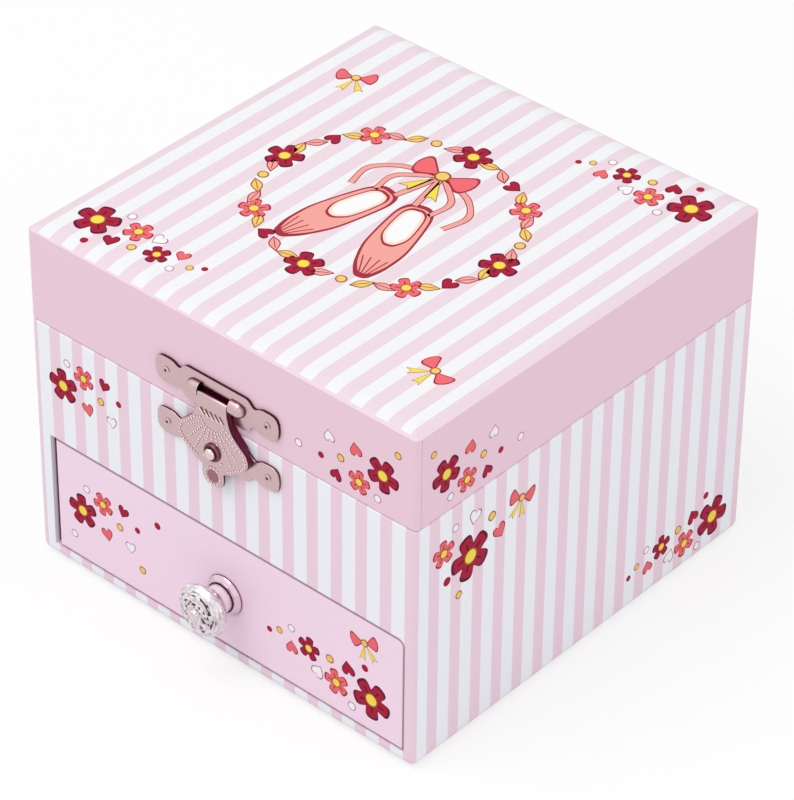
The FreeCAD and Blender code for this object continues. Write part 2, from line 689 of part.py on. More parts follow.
def latch(nodes):
    """Hasp on the lid, its swinging leaf with the ball stud, and the catch plate on the case."""
    eye_half = HASP_EYE_WIDTH / 2
    opening = eye_half + HASP_SIDE_GAP
    around = (LATCH_OFFSET - opening, LATCH_OFFSET + opening)
    axis = Vector(LATCH_OFFSET, hasp_y, hasp_z)
    pocket_ball = HASP_POCKET_RADIUS
    pocket_y = -half_depth - HASP_POCKET_PROUD + pocket_ball
    plate = latch_plate(hasp_z)
    pockets = []
    for side in (-1, 1):
        centre = Vector(LATCH_OFFSET + side * (opening + HASP_PIN_LENGTH / 2), pocket_y, hasp_z)
        pockets.append(Part.makeSphere(pocket_ball, centre))
    behind = block((-half_width, half_width), (-half_depth, 0), (0, lid_top))
    window = block(
        around, (-half_depth - 2 * HASP_POCKET_PROUD, -half_depth),
        (hasp_z - HASP_EYE_RADIUS - HASP_SIDE_GAP, hasp_z + 2 * HASP_EYE_RADIUS + HASP_SIDE_GAP))
    pin_half = eye_half + HASP_PIN_LENGTH
    bore_half = pin_half + HASP_SIDE_GAP
    bore = rod(HASP_PIN_RADIUS + RUNNING_FIT, axis - ALONG_X * bore_half, ALONG_X, 2 * bore_half)
    nodes["hasp_plate"] = joined([plate] + pockets).cut([behind, window, bore])

    sheet = Part.Face(leaf_outline()).extrude(TO_BACK * HASP_LEAF)
    eye = rod(HASP_EYE_RADIUS, axis - ALONG_X * eye_half, ALONG_X, HASP_EYE_WIDTH)
    pin = rod(HASP_PIN_RADIUS, axis - ALONG_X * pin_half, ALONG_X, 2 * pin_half)
    nodes["hasp_leaf"] = joined([sheet, eye, pin])

    catch_front = -half_depth - LATCH_PLATE
    tail_end = catch_front - STUD_TAIL_GAP
    seat = Vector(LATCH_OFFSET, leaf_front, stud_z)
    tail = rod(STUD_TAIL_RADIUS, Vector(LATCH_OFFSET, tail_end, stud_z), TO_FRONT, tail_end - leaf_front)
    collar = rod(STUD_COLLAR_RADIUS, seat, TO_FRONT, STUD_COLLAR)
    ball = placed(dome(STUD_RADIUS, STUD_HEIGHT), seat + TO_FRONT * STUD_COLLAR, TO_FRONT)
    nodes["hasp_stud"] = joined([tail, collar, ball])
    drill(nodes, ["hasp_leaf"], [tail])

    nodes["catch_plate"] = latch_plate(stud_z)
    plate_nails = latch_nails(hasp_z)
    catch_nails = latch_nails(stud_z)
    drill(nodes, ["hasp_plate", "lid_wrap", "lid_front_rail"], plate_nails)
    drill(nodes, ["catch_plate", "case_wrap", "case_front_board"], catch_nails)
    nodes["hasp_plate_nails"] = Part.makeCompound(plate_nails)
    nodes["catch_nails"] = Part.makeCompound(catch_nails)


def hinge_leaf(centre_x, on_lid):
    """Butt hinge leaf on the back, with its knuckles; the lid's knuckle is the middle one."""
    half = HINGE_WIDTH / 2
    middle = HINGE_MIDDLE_KNUCKLE / 2
    side = 1 if on_lid else -1
    near = hinge_z + side * SEAM_GAP
    far = near + side * HINGE_LEAF_HEIGHT
    clear = hinge_z + side * (KNUCKLE_RADIUS + KNUCKLE_GAP)
    thickness = (half_depth, half_depth + HINGE_LEAF)
    plate = block((centre_x - half, centre_x + half), thickness, sorted((near, far)))
    if on_lid:
        knuckles = [(-middle + KNUCKLE_GAP, middle - KNUCKLE_GAP)]
        notches = [(-half, -middle + KNUCKLE_GAP), (middle - KNUCKLE_GAP, half)]
    else:
        knuckles = [(-half, -middle), (middle, half)]
        notches = [(-middle, middle)]
    notch_span = sorted((near, clear))
    cuts = [block((centre_x + a, centre_x + b), thickness, notch_span) for a, b in notches]
    rolls = [rod(KNUCKLE_RADIUS, Vector(centre_x + a, hinge_y, hinge_z), ALONG_X, b - a) for a, b in knuckles]
    bore_start = Vector(centre_x - half, hinge_y, hinge_z)
    bore = rod(HINGE_PIN_RADIUS + RUNNING_FIT, bore_start, ALONG_X, HINGE_WIDTH)
    return joined([plate.cut(cuts)] + rolls).cut(bore)


def hinges(nodes):
    """Two butt hinges with their pins and nails."""
    pins = []
    nails = {"case": [], "lid": []}
    for name, side in (("left", -1), ("right", 1)):
        centre_x = side * (half_width - HINGE_INSET)
        nodes["hinge_case_leaf_" + name] = hinge_leaf(centre_x, False)
        nodes["hinge_lid_leaf_" + name] = hinge_leaf(centre_x, True)
        pin_start = Vector(centre_x - HINGE_WIDTH / 2, hinge_y, hinge_z)
        pins.append(rod(HINGE_PIN_RADIUS, pin_start, ALONG_X, HINGE_WIDTH))
        for body, up in (("case", -1), ("lid", 1)):
            z = hinge_z + up * (SEAM_GAP + (HINGE_LEAF_HEIGHT + KNUCKLE_RADIUS) / 2)
            for offset in (-HINGE_NAIL_SPACING / 2, HINGE_NAIL_SPACING / 2):
                spot = Vector(centre_x + offset, half_depth + HINGE_LEAF, z)
                nails[body].append(nail(spot, TO_BACK, HINGE_LEAF + PAPER))
    leaf_names = ["hinge_%s_leaf_" + name for name in ("left", "right")]
    drill(nodes, [name % "case" for name in leaf_names] + ["case_wrap", "case_back_board"], nails["case"])
    drill(nodes, [name % "lid" for name in leaf_names] + ["lid_wrap", "lid_back_rail"], nails["lid"])
    nodes["hinge_pins"] = Part.makeCompound(pins)
    nodes["hinge_case_nails"] = Part.makeCompound(nails["case"])
    nodes["hinge_lid_nails"] = Part.makeCompound(nails["lid"])


def movement_frame(nodes):
    """Bed with its bearings, the tone comb and the screws that hold them."""
    bed_left = -barrel_radius - SCREW_INSET
    bed_right = outer_post + POST + SCREW_INSET / 2
    bed_front = partition_back + BED_EDGE_GAP
    bed = block((bed_left, bed_right), (bed_front, upright_back), (base_top, bed_top))
    upright = block((-UPRIGHT_WIDTH / 2, UPRIGHT_WIDTH / 2), (upright_front, upright_back),
                    (bed_top, barrel_z + UPRIGHT_WIDTH / 2))
    train_top = barrel_z + CYLINDER_ARBOR_RADIUS + POST_MARGIN
    governor_top = governor_z + GOVERNOR_ARBOR_RADIUS + POST_MARGIN
    low_y = train_y - CYLINDER_ARBOR_RADIUS - POST_MARGIN
    high_y = train_y + CYLINDER_ARBOR_RADIUS + POST_MARGIN
    fan_low_y = governor_y - GOVERNOR_ARBOR_RADIUS - POST_MARGIN
    fan_high_y = governor_y + GOVERNOR_ARBOR_RADIUS + POST_MARGIN
    posts = [
        block((left_post, left_post + POST), (low_y, high_y), (bed_top, train_top)),
        block((right_post, right_post + POST), (low_y, fan_high_y), (bed_top, governor_top)),
        block((outer_post, outer_post + POST), (fan_low_y, fan_high_y), (bed_top, governor_top)),
    ]
    seat_top = barrel_z - COMB_THICKNESS / 2
    seat = block((drum_start, drum_end), (comb_back, comb_back + COMB_SEAT), (bed_top, seat_top))
    comb = block((drum_start, drum_end), (comb_back, comb_tip), (seat_top, seat_top + COMB_THICKNESS))
    pitch = (drum_end - drum_start) / (2 * CYLINDER_PIN_ROWS)
    slots = []
    for number in range(1, 2 * CYLINDER_PIN_ROWS):
        x = drum_start + number * pitch
        slots.append(block((x - COMB_SLOT / 2, x + COMB_SLOT / 2), (comb_back + COMB_SEAT, comb_tip),
                           (seat_top, seat_top + COMB_THICKNESS)))
    nodes["tone_comb"] = comb.cut(slots)
    bores = [
        rod(ARBOR_RADIUS + RUNNING_FIT, Vector(0, upright_front, barrel_z), TO_BACK, UPRIGHT),
        rod(CYLINDER_ARBOR_RADIUS + RUNNING_FIT, Vector(left_post, train_y, barrel_z), ALONG_X,
            right_post + POST - left_post),
        rod(GOVERNOR_ARBOR_RADIUS + RUNNING_FIT, Vector(right_post, governor_y, governor_z), ALONG_X,
            outer_post + POST - right_post),
    ]
    nodes["movement_bed"] = joined([bed, upright, seat] + posts).cut(bores)

    screws = []
    for x in (bed_left + SCREW_INSET, bed_right - SCREW_INSET):
        for y in (bed_front + SCREW_INSET, upright_back - SCREW_INSET):
            screws.append(screw(Vector(x, y, bed_top), BED + SCREW_BITE))
    for x in (drum_start + SCREW_INSET, drum_end - SCREW_INSET):
        spot = Vector(x, comb_back + COMB_SEAT / 2, seat_top + COMB_THICKNESS)
        screws.append(screw(spot, COMB_THICKNESS + SCREW_BITE))
    drill(nodes, ["movement_bed", "tone_comb", "case_base_board"], screws)
    nodes["movement_screws"] = Part.makeCompound(screws)


def spring_motor(nodes):
    """Winding key and arbor, and the barrel with its crown teeth and mainspring."""
    collar_front = barrel_front - RUNNING_FIT - ARBOR_COLLAR
    arbor_end = half_depth + KEY_GAP + KEY_HUB_LENGTH
    nodes["winding_arbor"] = joined([
        rod(ARBOR_RADIUS, Vector(0, collar_front, barrel_z), TO_BACK, arbor_end - collar_front),
        rod(BARREL_HUB_RADIUS, Vector(0, collar_front, barrel_z), TO_BACK, ARBOR_COLLAR),
    ])
    hub_start = half_depth + KEY_GAP
    wing_y = arbor_end + KEY_WING_RADIUS - KEY_WING
    wing_span = (barrel_z - KEY_WING / 2, barrel_z + KEY_WING / 2)
    wings = [
        rod(KEY_WING_RADIUS, Vector(side * KEY_WING_OFFSET, wing_y, wing_span[0]), UP, KEY_WING)
        for side in (-1, 1)
    ]
    bridge = block((-KEY_WING_OFFSET, KEY_WING_OFFSET), (arbor_end - KEY_WING, wing_y), wing_span)
    hub = rod(KEY_HUB_RADIUS, Vector(0, hub_start, barrel_z), TO_BACK, KEY_HUB_LENGTH)
    nodes["winding_key"] = joined([hub, bridge] + wings).cut(nodes["winding_arbor"])
    hole = rod(ARBOR_RADIUS + KEY_HOLE_CLEARANCE, Vector(0, inner_y, barrel_z), TO_BACK, 2 * wall)
    drill(nodes, ["case_back_board", "case_wrap"], [hole])

    front = Vector(0, barrel_front, barrel_z)
    cup = rod(barrel_radius, front, TO_BACK, BARREL_LENGTH)
    hollow = rod(barrel_radius - BARREL_WALL, front + TO_BACK * BARREL_FRONT_WALL, TO_BACK, BARREL_LENGTH)
    hub = rod(BARREL_HUB_RADIUS, front, TO_BACK, BARREL_LENGTH)
    bore = rod(ARBOR_RADIUS + RUNNING_FIT, front, TO_BACK, BARREL_LENGTH)
    teeth = [crown_tooth(number * 360 / CROWN_TEETH) for number in range(CROWN_TEETH)]
    nodes["spring_barrel"] = joined([cup.cut(hollow), hub] + teeth).cut(bore)
    nodes["mainspring"] = mainspring()


def crown_tooth(angle):
    """One tooth on the front of the barrel, wedge-shaped towards its tip."""
    foot = CROWN_FOOT_SHARE * crown_pitch / 2
    tip = CROWN_TIP_SHARE * crown_pitch / 2
    inner = crown_radius - CROWN_FACE / 2
    section = [(-foot, 0), (-tip, crown_height), (tip, crown_height), (foot, 0)]
    points = [Vector(inner, barrel_front - height, across) for across, height in section]
    tooth = Part.Face(Part.makePolygon(points + points[:1])).extrude(ALONG_X * CROWN_FACE)
    tooth.rotate(Vector(), TO_BACK, angle)
    tooth.translate(Vector(0, 0, barrel_z))
    return tooth


def mainspring():
    """Flat spiral spring between the hub and the wall of the barrel."""
    inner = BARREL_HUB_RADIUS + SPRING_GAP
    outer = barrel_radius - BARREL_WALL - SPRING_GAP - SPRING_STRIP
    steps = SPRING_COILS * 8
    start = barrel_front + BARREL_FRONT_WALL + SPRING_GAP

    def edge(offset):
        points = []
        for step in range(steps + 1):
            radius = inner + (outer - inner) * step / steps + offset
            angle = 2 * math.pi * SPRING_COILS * step / steps
            points.append(Vector(radius * math.cos(angle), start, barrel_z + radius * math.sin(angle)))
        curve = Part.BSplineCurve()
        curve.interpolate(points)
        return curve.toShape(), points[0], points[-1]

    inside, inside_start, inside_end = edge(0)
    outside, outside_start, outside_end = edge(SPRING_STRIP)
    ends = [
        Part.LineSegment(inside_end, outside_end).toShape(),
        Part.LineSegment(outside_start, inside_start).toShape(),
    ]
    wire = Part.Wire(Part.__sortEdges__([inside, ends[0], outside, ends[1]]))
    return Part.Face(wire).extrude(TO_BACK * (barrel_back - SPRING_GAP - start))


def music_train(nodes):
    """Pinned cylinder with its arbor, the great wheel and the governor."""
    pinion_phase = 180 / PINION_TEETH
    pinion_start = crown_radius - CROWN_FACE / 2
    arbor_start = pinion_start - POST_TO_DRUM
    arbor_end = right_post + POST + POST_TO_DRUM / 2
    nodes["cylinder_arbor"] = joined([
        gear_along_x(PINION_TEETH, pinion_radius, PINION_ROOT_SHARE, pinion_phase,
                     Vector(pinion_start, train_y, barrel_z), CROWN_FACE),
        rod(CYLINDER_ARBOR_RADIUS, Vector(arbor_start, train_y, barrel_z), ALONG_X, arbor_end - arbor_start),
    ])
    drum = rod(CYLINDER_RADIUS, Vector(drum_start, train_y, barrel_z), ALONG_X, drum_end - drum_start)
    nodes["music_cylinder"] = joined([drum] + tune_pins()).cut(nodes["cylinder_arbor"])
    nodes["great_wheel"] = gear_along_x(
        GREAT_WHEEL_TEETH, great_wheel_radius, WHEEL_ROOT_SHARE, GOVERNOR_DIRECTION,
        Vector(great_wheel_start, train_y, barrel_z), GREAT_WHEEL_FACE).cut(nodes["cylinder_arbor"])

    def on_axis(x):
        return Vector(x, governor_y, governor_z)

    space_phase = GOVERNOR_DIRECTION + 180 + 180 / GOVERNOR_TEETH
    blades = [
        block((fan_start, fan_start + FAN_LENGTH), (governor_y - half_y, governor_y + half_y),
              (governor_z - half_z, governor_z + half_z))
        for half_y, half_z in ((FAN_RADIUS, FAN_BLADE / 2), (FAN_BLADE / 2, FAN_RADIUS))
    ]
    arbor_left = great_wheel_start - POST_TO_DRUM / 2
    nodes["governor_fan"] = joined([
        rod(GOVERNOR_ARBOR_RADIUS, on_axis(arbor_left), ALONG_X, outer_post + POST - arbor_left),
        gear_along_x(GOVERNOR_TEETH, governor_radius, PINION_ROOT_SHARE, space_phase,
                     on_axis(great_wheel_start), GREAT_WHEEL_FACE),
        rod(BRAKE_DISC_RADIUS, on_axis(disc_start), ALONG_X, BRAKE_DISC),
    ] + blades)


def tune_pins():
    """Pins on the cylinder, a few to each row, stepped round by a fixed rule."""
    pitch = (drum_end - drum_start) / (2 * CYLINDER_PIN_ROWS)
    length = 2 * CYLINDER_PIN_HEIGHT
    pins = []
    for row in range(CYLINDER_PIN_ROWS):
        x = drum_start + (2 * row + 1.5) * pitch
        for beat in range(3):
            turn = 2 * math.pi * ((7 * row + 8 * beat + 3) % TUNE_STEPS + 0.5) / TUNE_STEPS
            outward = Vector(0, math.cos(turn), math.sin(turn))
            foot = Vector(x, train_y, barrel_z) + outward * (CYLINDER_RADIUS - CYLINDER_PIN_HEIGHT)
            pins.append(rod(CYLINDER_PIN_RADIUS, foot, outward, length))
    return pins


def dancer(nodes):
    """Bush, spindle with its pinion, turntable, spring and the dancer in a tutu."""
    axis = Vector(0, train_y, 0)
    bush_bottom = shelf_bottom - BUSH_BELOW_SHELF
    shaft = rod(BUSH_RADIUS, axis + UP * bush_bottom, UP, well_floor - bush_bottom)
    flange = rod(BUSH_FLANGE_RADIUS, axis + UP * well_floor, UP, BUSH_FLANGE)
    bore = rod(SPINDLE_RADIUS + RUNNING_FIT, axis, UP, lid_top)
    nodes["spindle_bush"] = joined([shaft, flange]).cut(bore)
    drill(nodes, ["mid_shelf", "well_floor_lining"], [shaft])

    pinion = gear_face(PINION_TEETH, pinion_radius, PINION_ROOT_SHARE, 90 + 180 / PINION_TEETH)
    pinion = pinion.extrude(UP * CROWN_FACE)
    pinion.translate(axis + UP * (barrel_z + crown_radius - CROWN_FACE / 2))
    spindle_bottom = barrel_z + crown_radius - CROWN_FACE / 2 - POST_TO_DRUM
    stem = rod(SPINDLE_RADIUS, axis + UP * spindle_bottom, UP, turntable_top - spindle_bottom)
    nodes["dancer_spindle"] = joined([pinion, stem])
    disc = rod(TURNTABLE_RADIUS, axis + UP * turntable_bottom, UP, TURNTABLE)
    nodes["turntable"] = disc.cut(stem)
    nodes["dancer_spring"] = rod(SPRING_SLEEVE_RADIUS, axis + UP * turntable_top, UP, SPRING_HEIGHT)
    figure(nodes, axis + UP * foot_z)


def figure(nodes, foot):
    """Dancer on pointe with raised arms, facing the front, and the tutu round the waist."""
    hip = HIP_SHARE * figure_height
    waist = WAIST_SHARE * figure_height
    chest = CHEST_SHARE * figure_height
    shoulder = SHOULDER_SHARE * figure_height
    head = CHIN_SHARE * figure_height + HEAD_RADIUS
    torso = turned([
        (0, hip - LEG_RADIUS), (HIP_RADIUS - BUN_RADIUS / 2, hip - LEG_RADIUS), (HIP_RADIUS, hip),
        (WAIST_RADIUS, waist), (CHEST_RADIUS, chest), (NECK_RADIUS, shoulder), (NECK_RADIUS, head), (0, head),
    ])
    bun_offset = HEAD_RADIUS * math.sqrt(0.5)
    pieces = [
        torso,
        Part.makeSphere(HEAD_RADIUS, UP * head),
        Part.makeSphere(BUN_RADIUS, Vector(0, bun_offset, head + bun_offset)),
    ]
    for side in (-1, 1):
        leg = Part.makeCone(FOOT_RADIUS, LEG_RADIUS, hip)
        leg.translate(Vector(side * FOOT_RADIUS, 0, 0))
        pieces.append(leg)
        start = Vector(side * (CHEST_RADIUS - ARM_RADIUS), 0, ARMPIT_SHARE * figure_height)
        elbow = Vector(side * ARM_REACH, 0, ELBOW_SHARE * figure_height)
        hand = Vector(side * HAND_SPACING / 2, 0, figure_height - ARM_RADIUS)
        bend = Part.Arc(start, elbow, hand)
        tangent = Vector(*bend.tangent(bend.FirstParameter)[0])
        section = Part.Wire(Part.Circle(start, tangent, ARM_RADIUS).toShape())
        pieces.append(Part.Wire(bend.toShape()).makePipeShell([section], True, True))
        pieces.append(Part.makeSphere(ARM_RADIUS, hand))
    body = joined(pieces)
    tutu_top = (hip + waist) / 2
    bore = HIP_RADIUS + TUTU_GAP
    tutu = turned([
        (bore, tutu_top), (TUTU_RADIUS, tutu_top - TUTU_FALL),
        (TUTU_RADIUS, tutu_top - TUTU_FALL - TUTU_THICKNESS), (bore, tutu_top - TUTU_THICKNESS),
    ])
    body.translate(foot)
    tutu.translate(foot)
    nodes["dancer_figure"] = body
    nodes["dancer_tutu"] = tutu


def stop_rod(nodes):
    """Rod from the brake disc up to the lid; it keeps the clockwork still while the lid is shut."""
    x = disc_start + BRAKE_DISC / 2
    bottom = governor_z + BRAKE_DISC_RADIUS + ROD_END_GAP
    top = lining_bottom - ROD_END_GAP
    foot = Vector(x, governor_y, bottom)
    nodes["stop_rod"] = joined([
        rod(ROD_RADIUS, foot, UP, top - bottom), rod(rod_shoe_radius, foot, UP, ROD_SHOE)])
    hole = rod(ROD_RADIUS + RUNNING_FIT, Vector(x, governor_y, shelf_bottom), UP, well_floor - shelf_bottom)
    drill(nodes, ["mid_shelf", "well_floor_lining"], [hole])


def main():
    """Builds every piece and writes one file for each."""
    nodes = {}
    for group in (case_boards, well_fittings, lid_boards, drawer, latch, hinges,
                  movement_frame, spring_motor, music_train, dancer, stop_rod):
        group(nodes)
    os.makedirs("parts", exist_ok=True)
    for name, shape in nodes.items():
        shape.exportStep("parts/%s.step" % name)
    print(len(nodes), "pieces")


main()
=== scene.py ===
"""Dresses the musical jewellery box: papers and prints, latch, knob, hinges, clockwork and dancer."""

import logging
import math
from contextlib import contextmanager
from dataclasses import dataclass, field
from enum import Enum
from typing import Any, Callable, Iterator, Sequence

import bpy
from mathutils import Matrix, Vector


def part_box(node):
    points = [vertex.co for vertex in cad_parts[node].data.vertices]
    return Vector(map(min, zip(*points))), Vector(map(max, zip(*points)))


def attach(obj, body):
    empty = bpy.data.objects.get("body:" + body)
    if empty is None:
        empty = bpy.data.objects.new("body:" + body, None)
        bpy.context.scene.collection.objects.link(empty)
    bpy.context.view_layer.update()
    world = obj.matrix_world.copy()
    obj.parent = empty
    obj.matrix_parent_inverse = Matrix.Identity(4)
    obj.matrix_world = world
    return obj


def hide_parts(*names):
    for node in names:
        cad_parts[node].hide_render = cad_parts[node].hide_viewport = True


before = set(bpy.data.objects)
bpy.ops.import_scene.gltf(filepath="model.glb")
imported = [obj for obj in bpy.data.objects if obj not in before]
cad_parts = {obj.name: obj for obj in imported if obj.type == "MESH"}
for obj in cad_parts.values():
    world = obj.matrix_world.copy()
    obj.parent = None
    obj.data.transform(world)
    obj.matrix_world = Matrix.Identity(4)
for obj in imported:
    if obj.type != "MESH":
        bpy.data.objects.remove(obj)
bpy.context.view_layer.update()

MM = 0.001
# Points nearer than this are merged, in a piece's own units.
MERGE = 1e-6
# How far from a plane a point still counts as on it, in millimetres.
NEAR = 1e-4
# Edges sharper than this are bevelled, in degrees.
SHARP_EDGE = 50.0
# The most of a run between two corners that the rounding of one of them takes.
ROUNDING_SHARE = 0.48
log = logging.getLogger("jewellery_box")

Piece = bpy.types.Object
Tree = bpy.types.NodeTree
# What feeds a node's input: a value, a node's output, or a node.
Source = Any
Corner = tuple[float, float, float]
Outline = tuple[Corner, ...]
Profile = tuple[tuple[float, float], ...]
Ring = tuple[float, float, float, float, float]


def linear(hex_colour: str) -> tuple[float, float, float, float]:
    """Turns an sRGB hex value into linear light.

    Args:
        hex_colour: six digits after a hash, such as "#E8C9D9".

    Returns:
        Red, green, blue and a full alpha.
    """
    parts = [int(hex_colour[i:i + 2], 16) / 255 for i in (1, 3, 5)]
    red, green, blue = (p / 12.92 if p <= 0.04045 else ((p + 0.055) / 1.055) ** 2.4 for p in parts)
    return red, green, blue, 1.0


def bare_tree(owner: bpy.types.Material | bpy.types.World) -> Tree:
    """Gives a material or world an empty node tree.

    Args:
        owner: the material or world.

    Returns:
        The tree.
    """
    owner.use_nodes = True
    owner.node_tree.nodes.clear()
    return owner.node_tree


def add_node(tree: Tree, kind: str, inputs: dict | None = None, **settings: Any) -> bpy.types.Node:
    """Adds a shader node, sets it, and sets or links its inputs.

    Args:
        tree: the node tree.
        kind: the node's type name after "ShaderNode".
        inputs: what feeds each input, by name or number. A node gives its first output in use.
        settings: the node's own properties.

    Returns:
        The new node.
    """
    node = tree.nodes.new("ShaderNode" + kind)
    for key, value in settings.items():
        setattr(node, key, value)
    for socket, value in (inputs or {}).items():
        if isinstance(value, bpy.types.Node):
            value = next(out for out in value.outputs if out.enabled)
        if isinstance(value, bpy.types.NodeSocket):
            tree.links.new(value, node.inputs[socket])
        else:
            node.inputs[socket].default_value = value
    return node


class Domain(Enum):
    """What a selection in edit mode is made of, by its place among the three select modes."""

    VERTS = 0
    EDGES = 1
    FACES = 2


class Fold(Enum):
    """The steepest fold that is still shaded smooth on each kind of piece, in degrees."""

    SPUN = 30
    PRESSED = 35
    TURNED = 40
    ROLLED = 50
    SOFT = 60


class Side(Enum):
    """A face of the box: the directions across it, up it and out of it."""

    TOP = ((1, 0, 0), (0, 1, 0), (0, 0, 1))
    FRONT = ((1, 0, 0), (0, 0, 1), (0, -1, 0))
    RIGHT = ((0, 1, 0), (0, 0, 1), (1, 0, 0))
    BACK = ((-1, 0, 0), (0, 0, 1), (0, 1, 0))
    LEFT = ((0, -1, 0), (0, 0, 1), (-1, 0, 0))

    def stand(self, origin: Vector) -> Matrix:
        """Returns the way from a flat drawing in millimetres to this face, with its zero at origin."""
        turn = Matrix(self.value).transposed().to_4x4()
        return Matrix.Translation(origin) @ turn @ Matrix.Scale(MM, 4)

    def middle(self, node: str) -> Vector:
        """Finds the middle of this face of a node's box.

        Args:
            node: the node's name.

        Returns:
            The point, in metres.
        """
        low, high = box_of(node)
        half = (high - low) / 2
        out = Vector(self.value[2])
        return (low + high) / 2 + Vector(half[i] * out[i] for i in range(3))


def box_of(node: str) -> tuple[Vector, Vector]:
    """Returns the low and high corners of a node's box, in metres."""
    low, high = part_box(node)
    return Vector(low), Vector(high)


def choose(*pieces: Piece) -> None:
    """Selects these pieces and no others, and makes the first the active one.

    Args:
        pieces: the pieces.
    """
    bpy.ops.object.select_all(action="DESELECT")
    for piece in pieces:
        piece.select_set(True)
    bpy.context.view_layer.objects.active = pieces[0]


def begin(name: str, add: Callable, **settings: Any) -> Piece:
    """Adds a primitive by itself, with its place in its mesh.

    Args:
        name: the piece's name.
        add: the operator that adds it.
        settings: the operator's own settings.

    Returns:
        The new piece.
    """
    bpy.ops.object.select_all(action="DESELECT")
    add(**settings)
    piece = bpy.context.object
    piece.name = name
    bpy.ops.object.transform_apply()
    return piece


@contextmanager
def editing(piece: Piece, domain: Domain = Domain.FACES,
            chosen: Callable[[Any], bool] = lambda part: True) -> Iterator[None]:
    """Opens a piece in edit mode with some of it selected.

    Args:
        piece: the piece.
        domain: what is selected.
        chosen: says of each vertex, edge or face whether it is.

    Yields:
        Nothing, while the piece is open.
    """
    choose(piece)
    mesh = piece.data
    parts = (mesh.vertices, mesh.edges, mesh.polygons)
    for part in (*parts[0], *parts[1], *parts[2]):
        part.select = False
    for part in parts[domain.value]:
        part.select = chosen(part)
    bpy.context.tool_settings.mesh_select_mode = [mode is domain for mode in Domain]
    bpy.ops.object.mode_set(mode="EDIT")
    yield
    bpy.ops.object.mode_set(mode="OBJECT")


def shape_with(piece: Piece, kind: str, **settings: Any) -> None:
    """Adds a modifier to a piece and applies it.

    Args:
        piece: the piece.
        kind: the modifier's type.
        settings: the modifier's own settings.
    """
    choose(piece)
    added = piece.modifiers.new(kind.lower(), kind)
    for key, value in settings.items():
        setattr(added, key, value)
    bpy.ops.object.modifier_apply(modifier=added.name)


def soften(piece: Piece, width: float, segments: int = 3) -> None:
    """Bevels a piece's sharp edges."""
    shape_with(piece, "BEVEL", width=width, segments=segments, limit_method="ANGLE",
               angle_limit=math.radians(SHARP_EDGE))


def cut_away(piece: Piece, cutter: Piece) -> None:
    """Takes a cutter's shape out of a piece, and removes the cutter."""
    shape_with(piece, "BOOLEAN", operation="DIFFERENCE", object=cutter, solver="EXACT")
    discard(cutter)


def discard(*pieces: Piece) -> None:
    """Removes pieces that others were made from."""
    for piece in pieces:
        bpy.data.objects.remove(piece)


def mend(piece: Piece) -> None:
    """Merges doubled points and turns all faces outwards.

    Args:
        piece: the piece.
    """
    with editing(piece):
        bpy.ops.mesh.remove_doubles(threshold=MERGE)
        bpy.ops.mesh.normals_make_consistent(inside=False)


def smooth(piece: Piece, fold: Fold) -> None:
    """Shades a piece smooth across edges flatter than a fold."""
    choose(piece)
    bpy.ops.object.shade_smooth_by_angle(angle=math.radians(fold.value))


def copy_of(piece: Piece, matrix: Matrix) -> Piece:
    """Copies a piece, with a mesh of its own.

    Args:
        piece: the piece.
        matrix: where the copy goes from there.

    Returns:
        The copy.
    """
    twin = piece.copy()
    twin.data = piece.data.copy()
    bpy.context.collection.objects.link(twin)
    twin.data.transform(matrix)
    if matrix.determinant() < 0:
        twin.data.flip_normals()
    return twin


def join(name: str, pieces: Sequence[Piece]) -> Piece:
    """Joins pieces into one of a new name.

    Args:
        name: the new name.
        pieces: the pieces, each with its own finish.

    Returns:
        The joined piece.
    """
    choose(*pieces)
    bpy.ops.object.join()
    pieces[0].name = name
    return pieces[0]


def coat(piece: Piece, finish: "Finish") -> Piece:
    """Gives a piece one finish.

    Args:
        piece: the piece.
        finish: the finish.

    Returns:
        The piece.
    """
    piece.data.materials.clear()
    piece.data.materials.append(finish.material())
    return piece


def dress(finish: "Finish", *nodes: str) -> None:
    """Gives CAD nodes a finish in place of their plain colour.

    Args:
        finish: the finish.
        nodes: the nodes' names.
    """
    for name in nodes:
        coat(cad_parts[name], finish)
        log.info("dressed %s with %s", name, finish.name)


def place(piece: Piece, body: str, slot: str, *nodes: str) -> None:
    """Puts a finished piece on its body.

    Args:
        piece: the piece.
        body: the body that it rides on.
        slot: the record's material slot; not used.
        nodes: the nodes that it stands for.
    """
    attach(piece, body)
    if nodes:
        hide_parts(*nodes)
    log.info("built %s on %s, %d faces", piece.name, body, len(piece.data.polygons))


def rounded(corners: Sequence[Corner], steps: int = 4) -> list[Vector]:
    """Rounds an outline's corners.

    Args:
        corners: x, y and how far from each corner its rounding starts.
        steps: the runs in each rounding.

    Returns:
        The outline's points.
    """
    points = []
    for i, (x, y, cut) in enumerate(corners):
        here = Vector((x, y))
        if not cut:
            points.append(here)
            continue
        ends = []
        for other in (corners[i - 1], corners[(i + 1) % len(corners)]):
            way = Vector(other[:2]) - here
            ends.append(here + way.normalized() * min(cut, ROUNDING_SHARE * way.length))
        for share in (step / steps for step in range(steps + 1)):
            points.append(ends[0].lerp(here, share).lerp(here.lerp(ends[1], share), share))
    return points


def mirrored(half: Sequence[Corner]) -> Outline:
    """Completes an outline from its right half, which runs from bottom to top."""
    return (*half, *((-x, y, cut) for x, y, cut in reversed(half)))


def moved(corners: Sequence[Corner], across: float, up: float, size: float = 1.0) -> Outline:
    """Scales an outline and moves it."""
    return tuple((across + x * size, up + y * size, cut * size) for x, y, cut in corners)


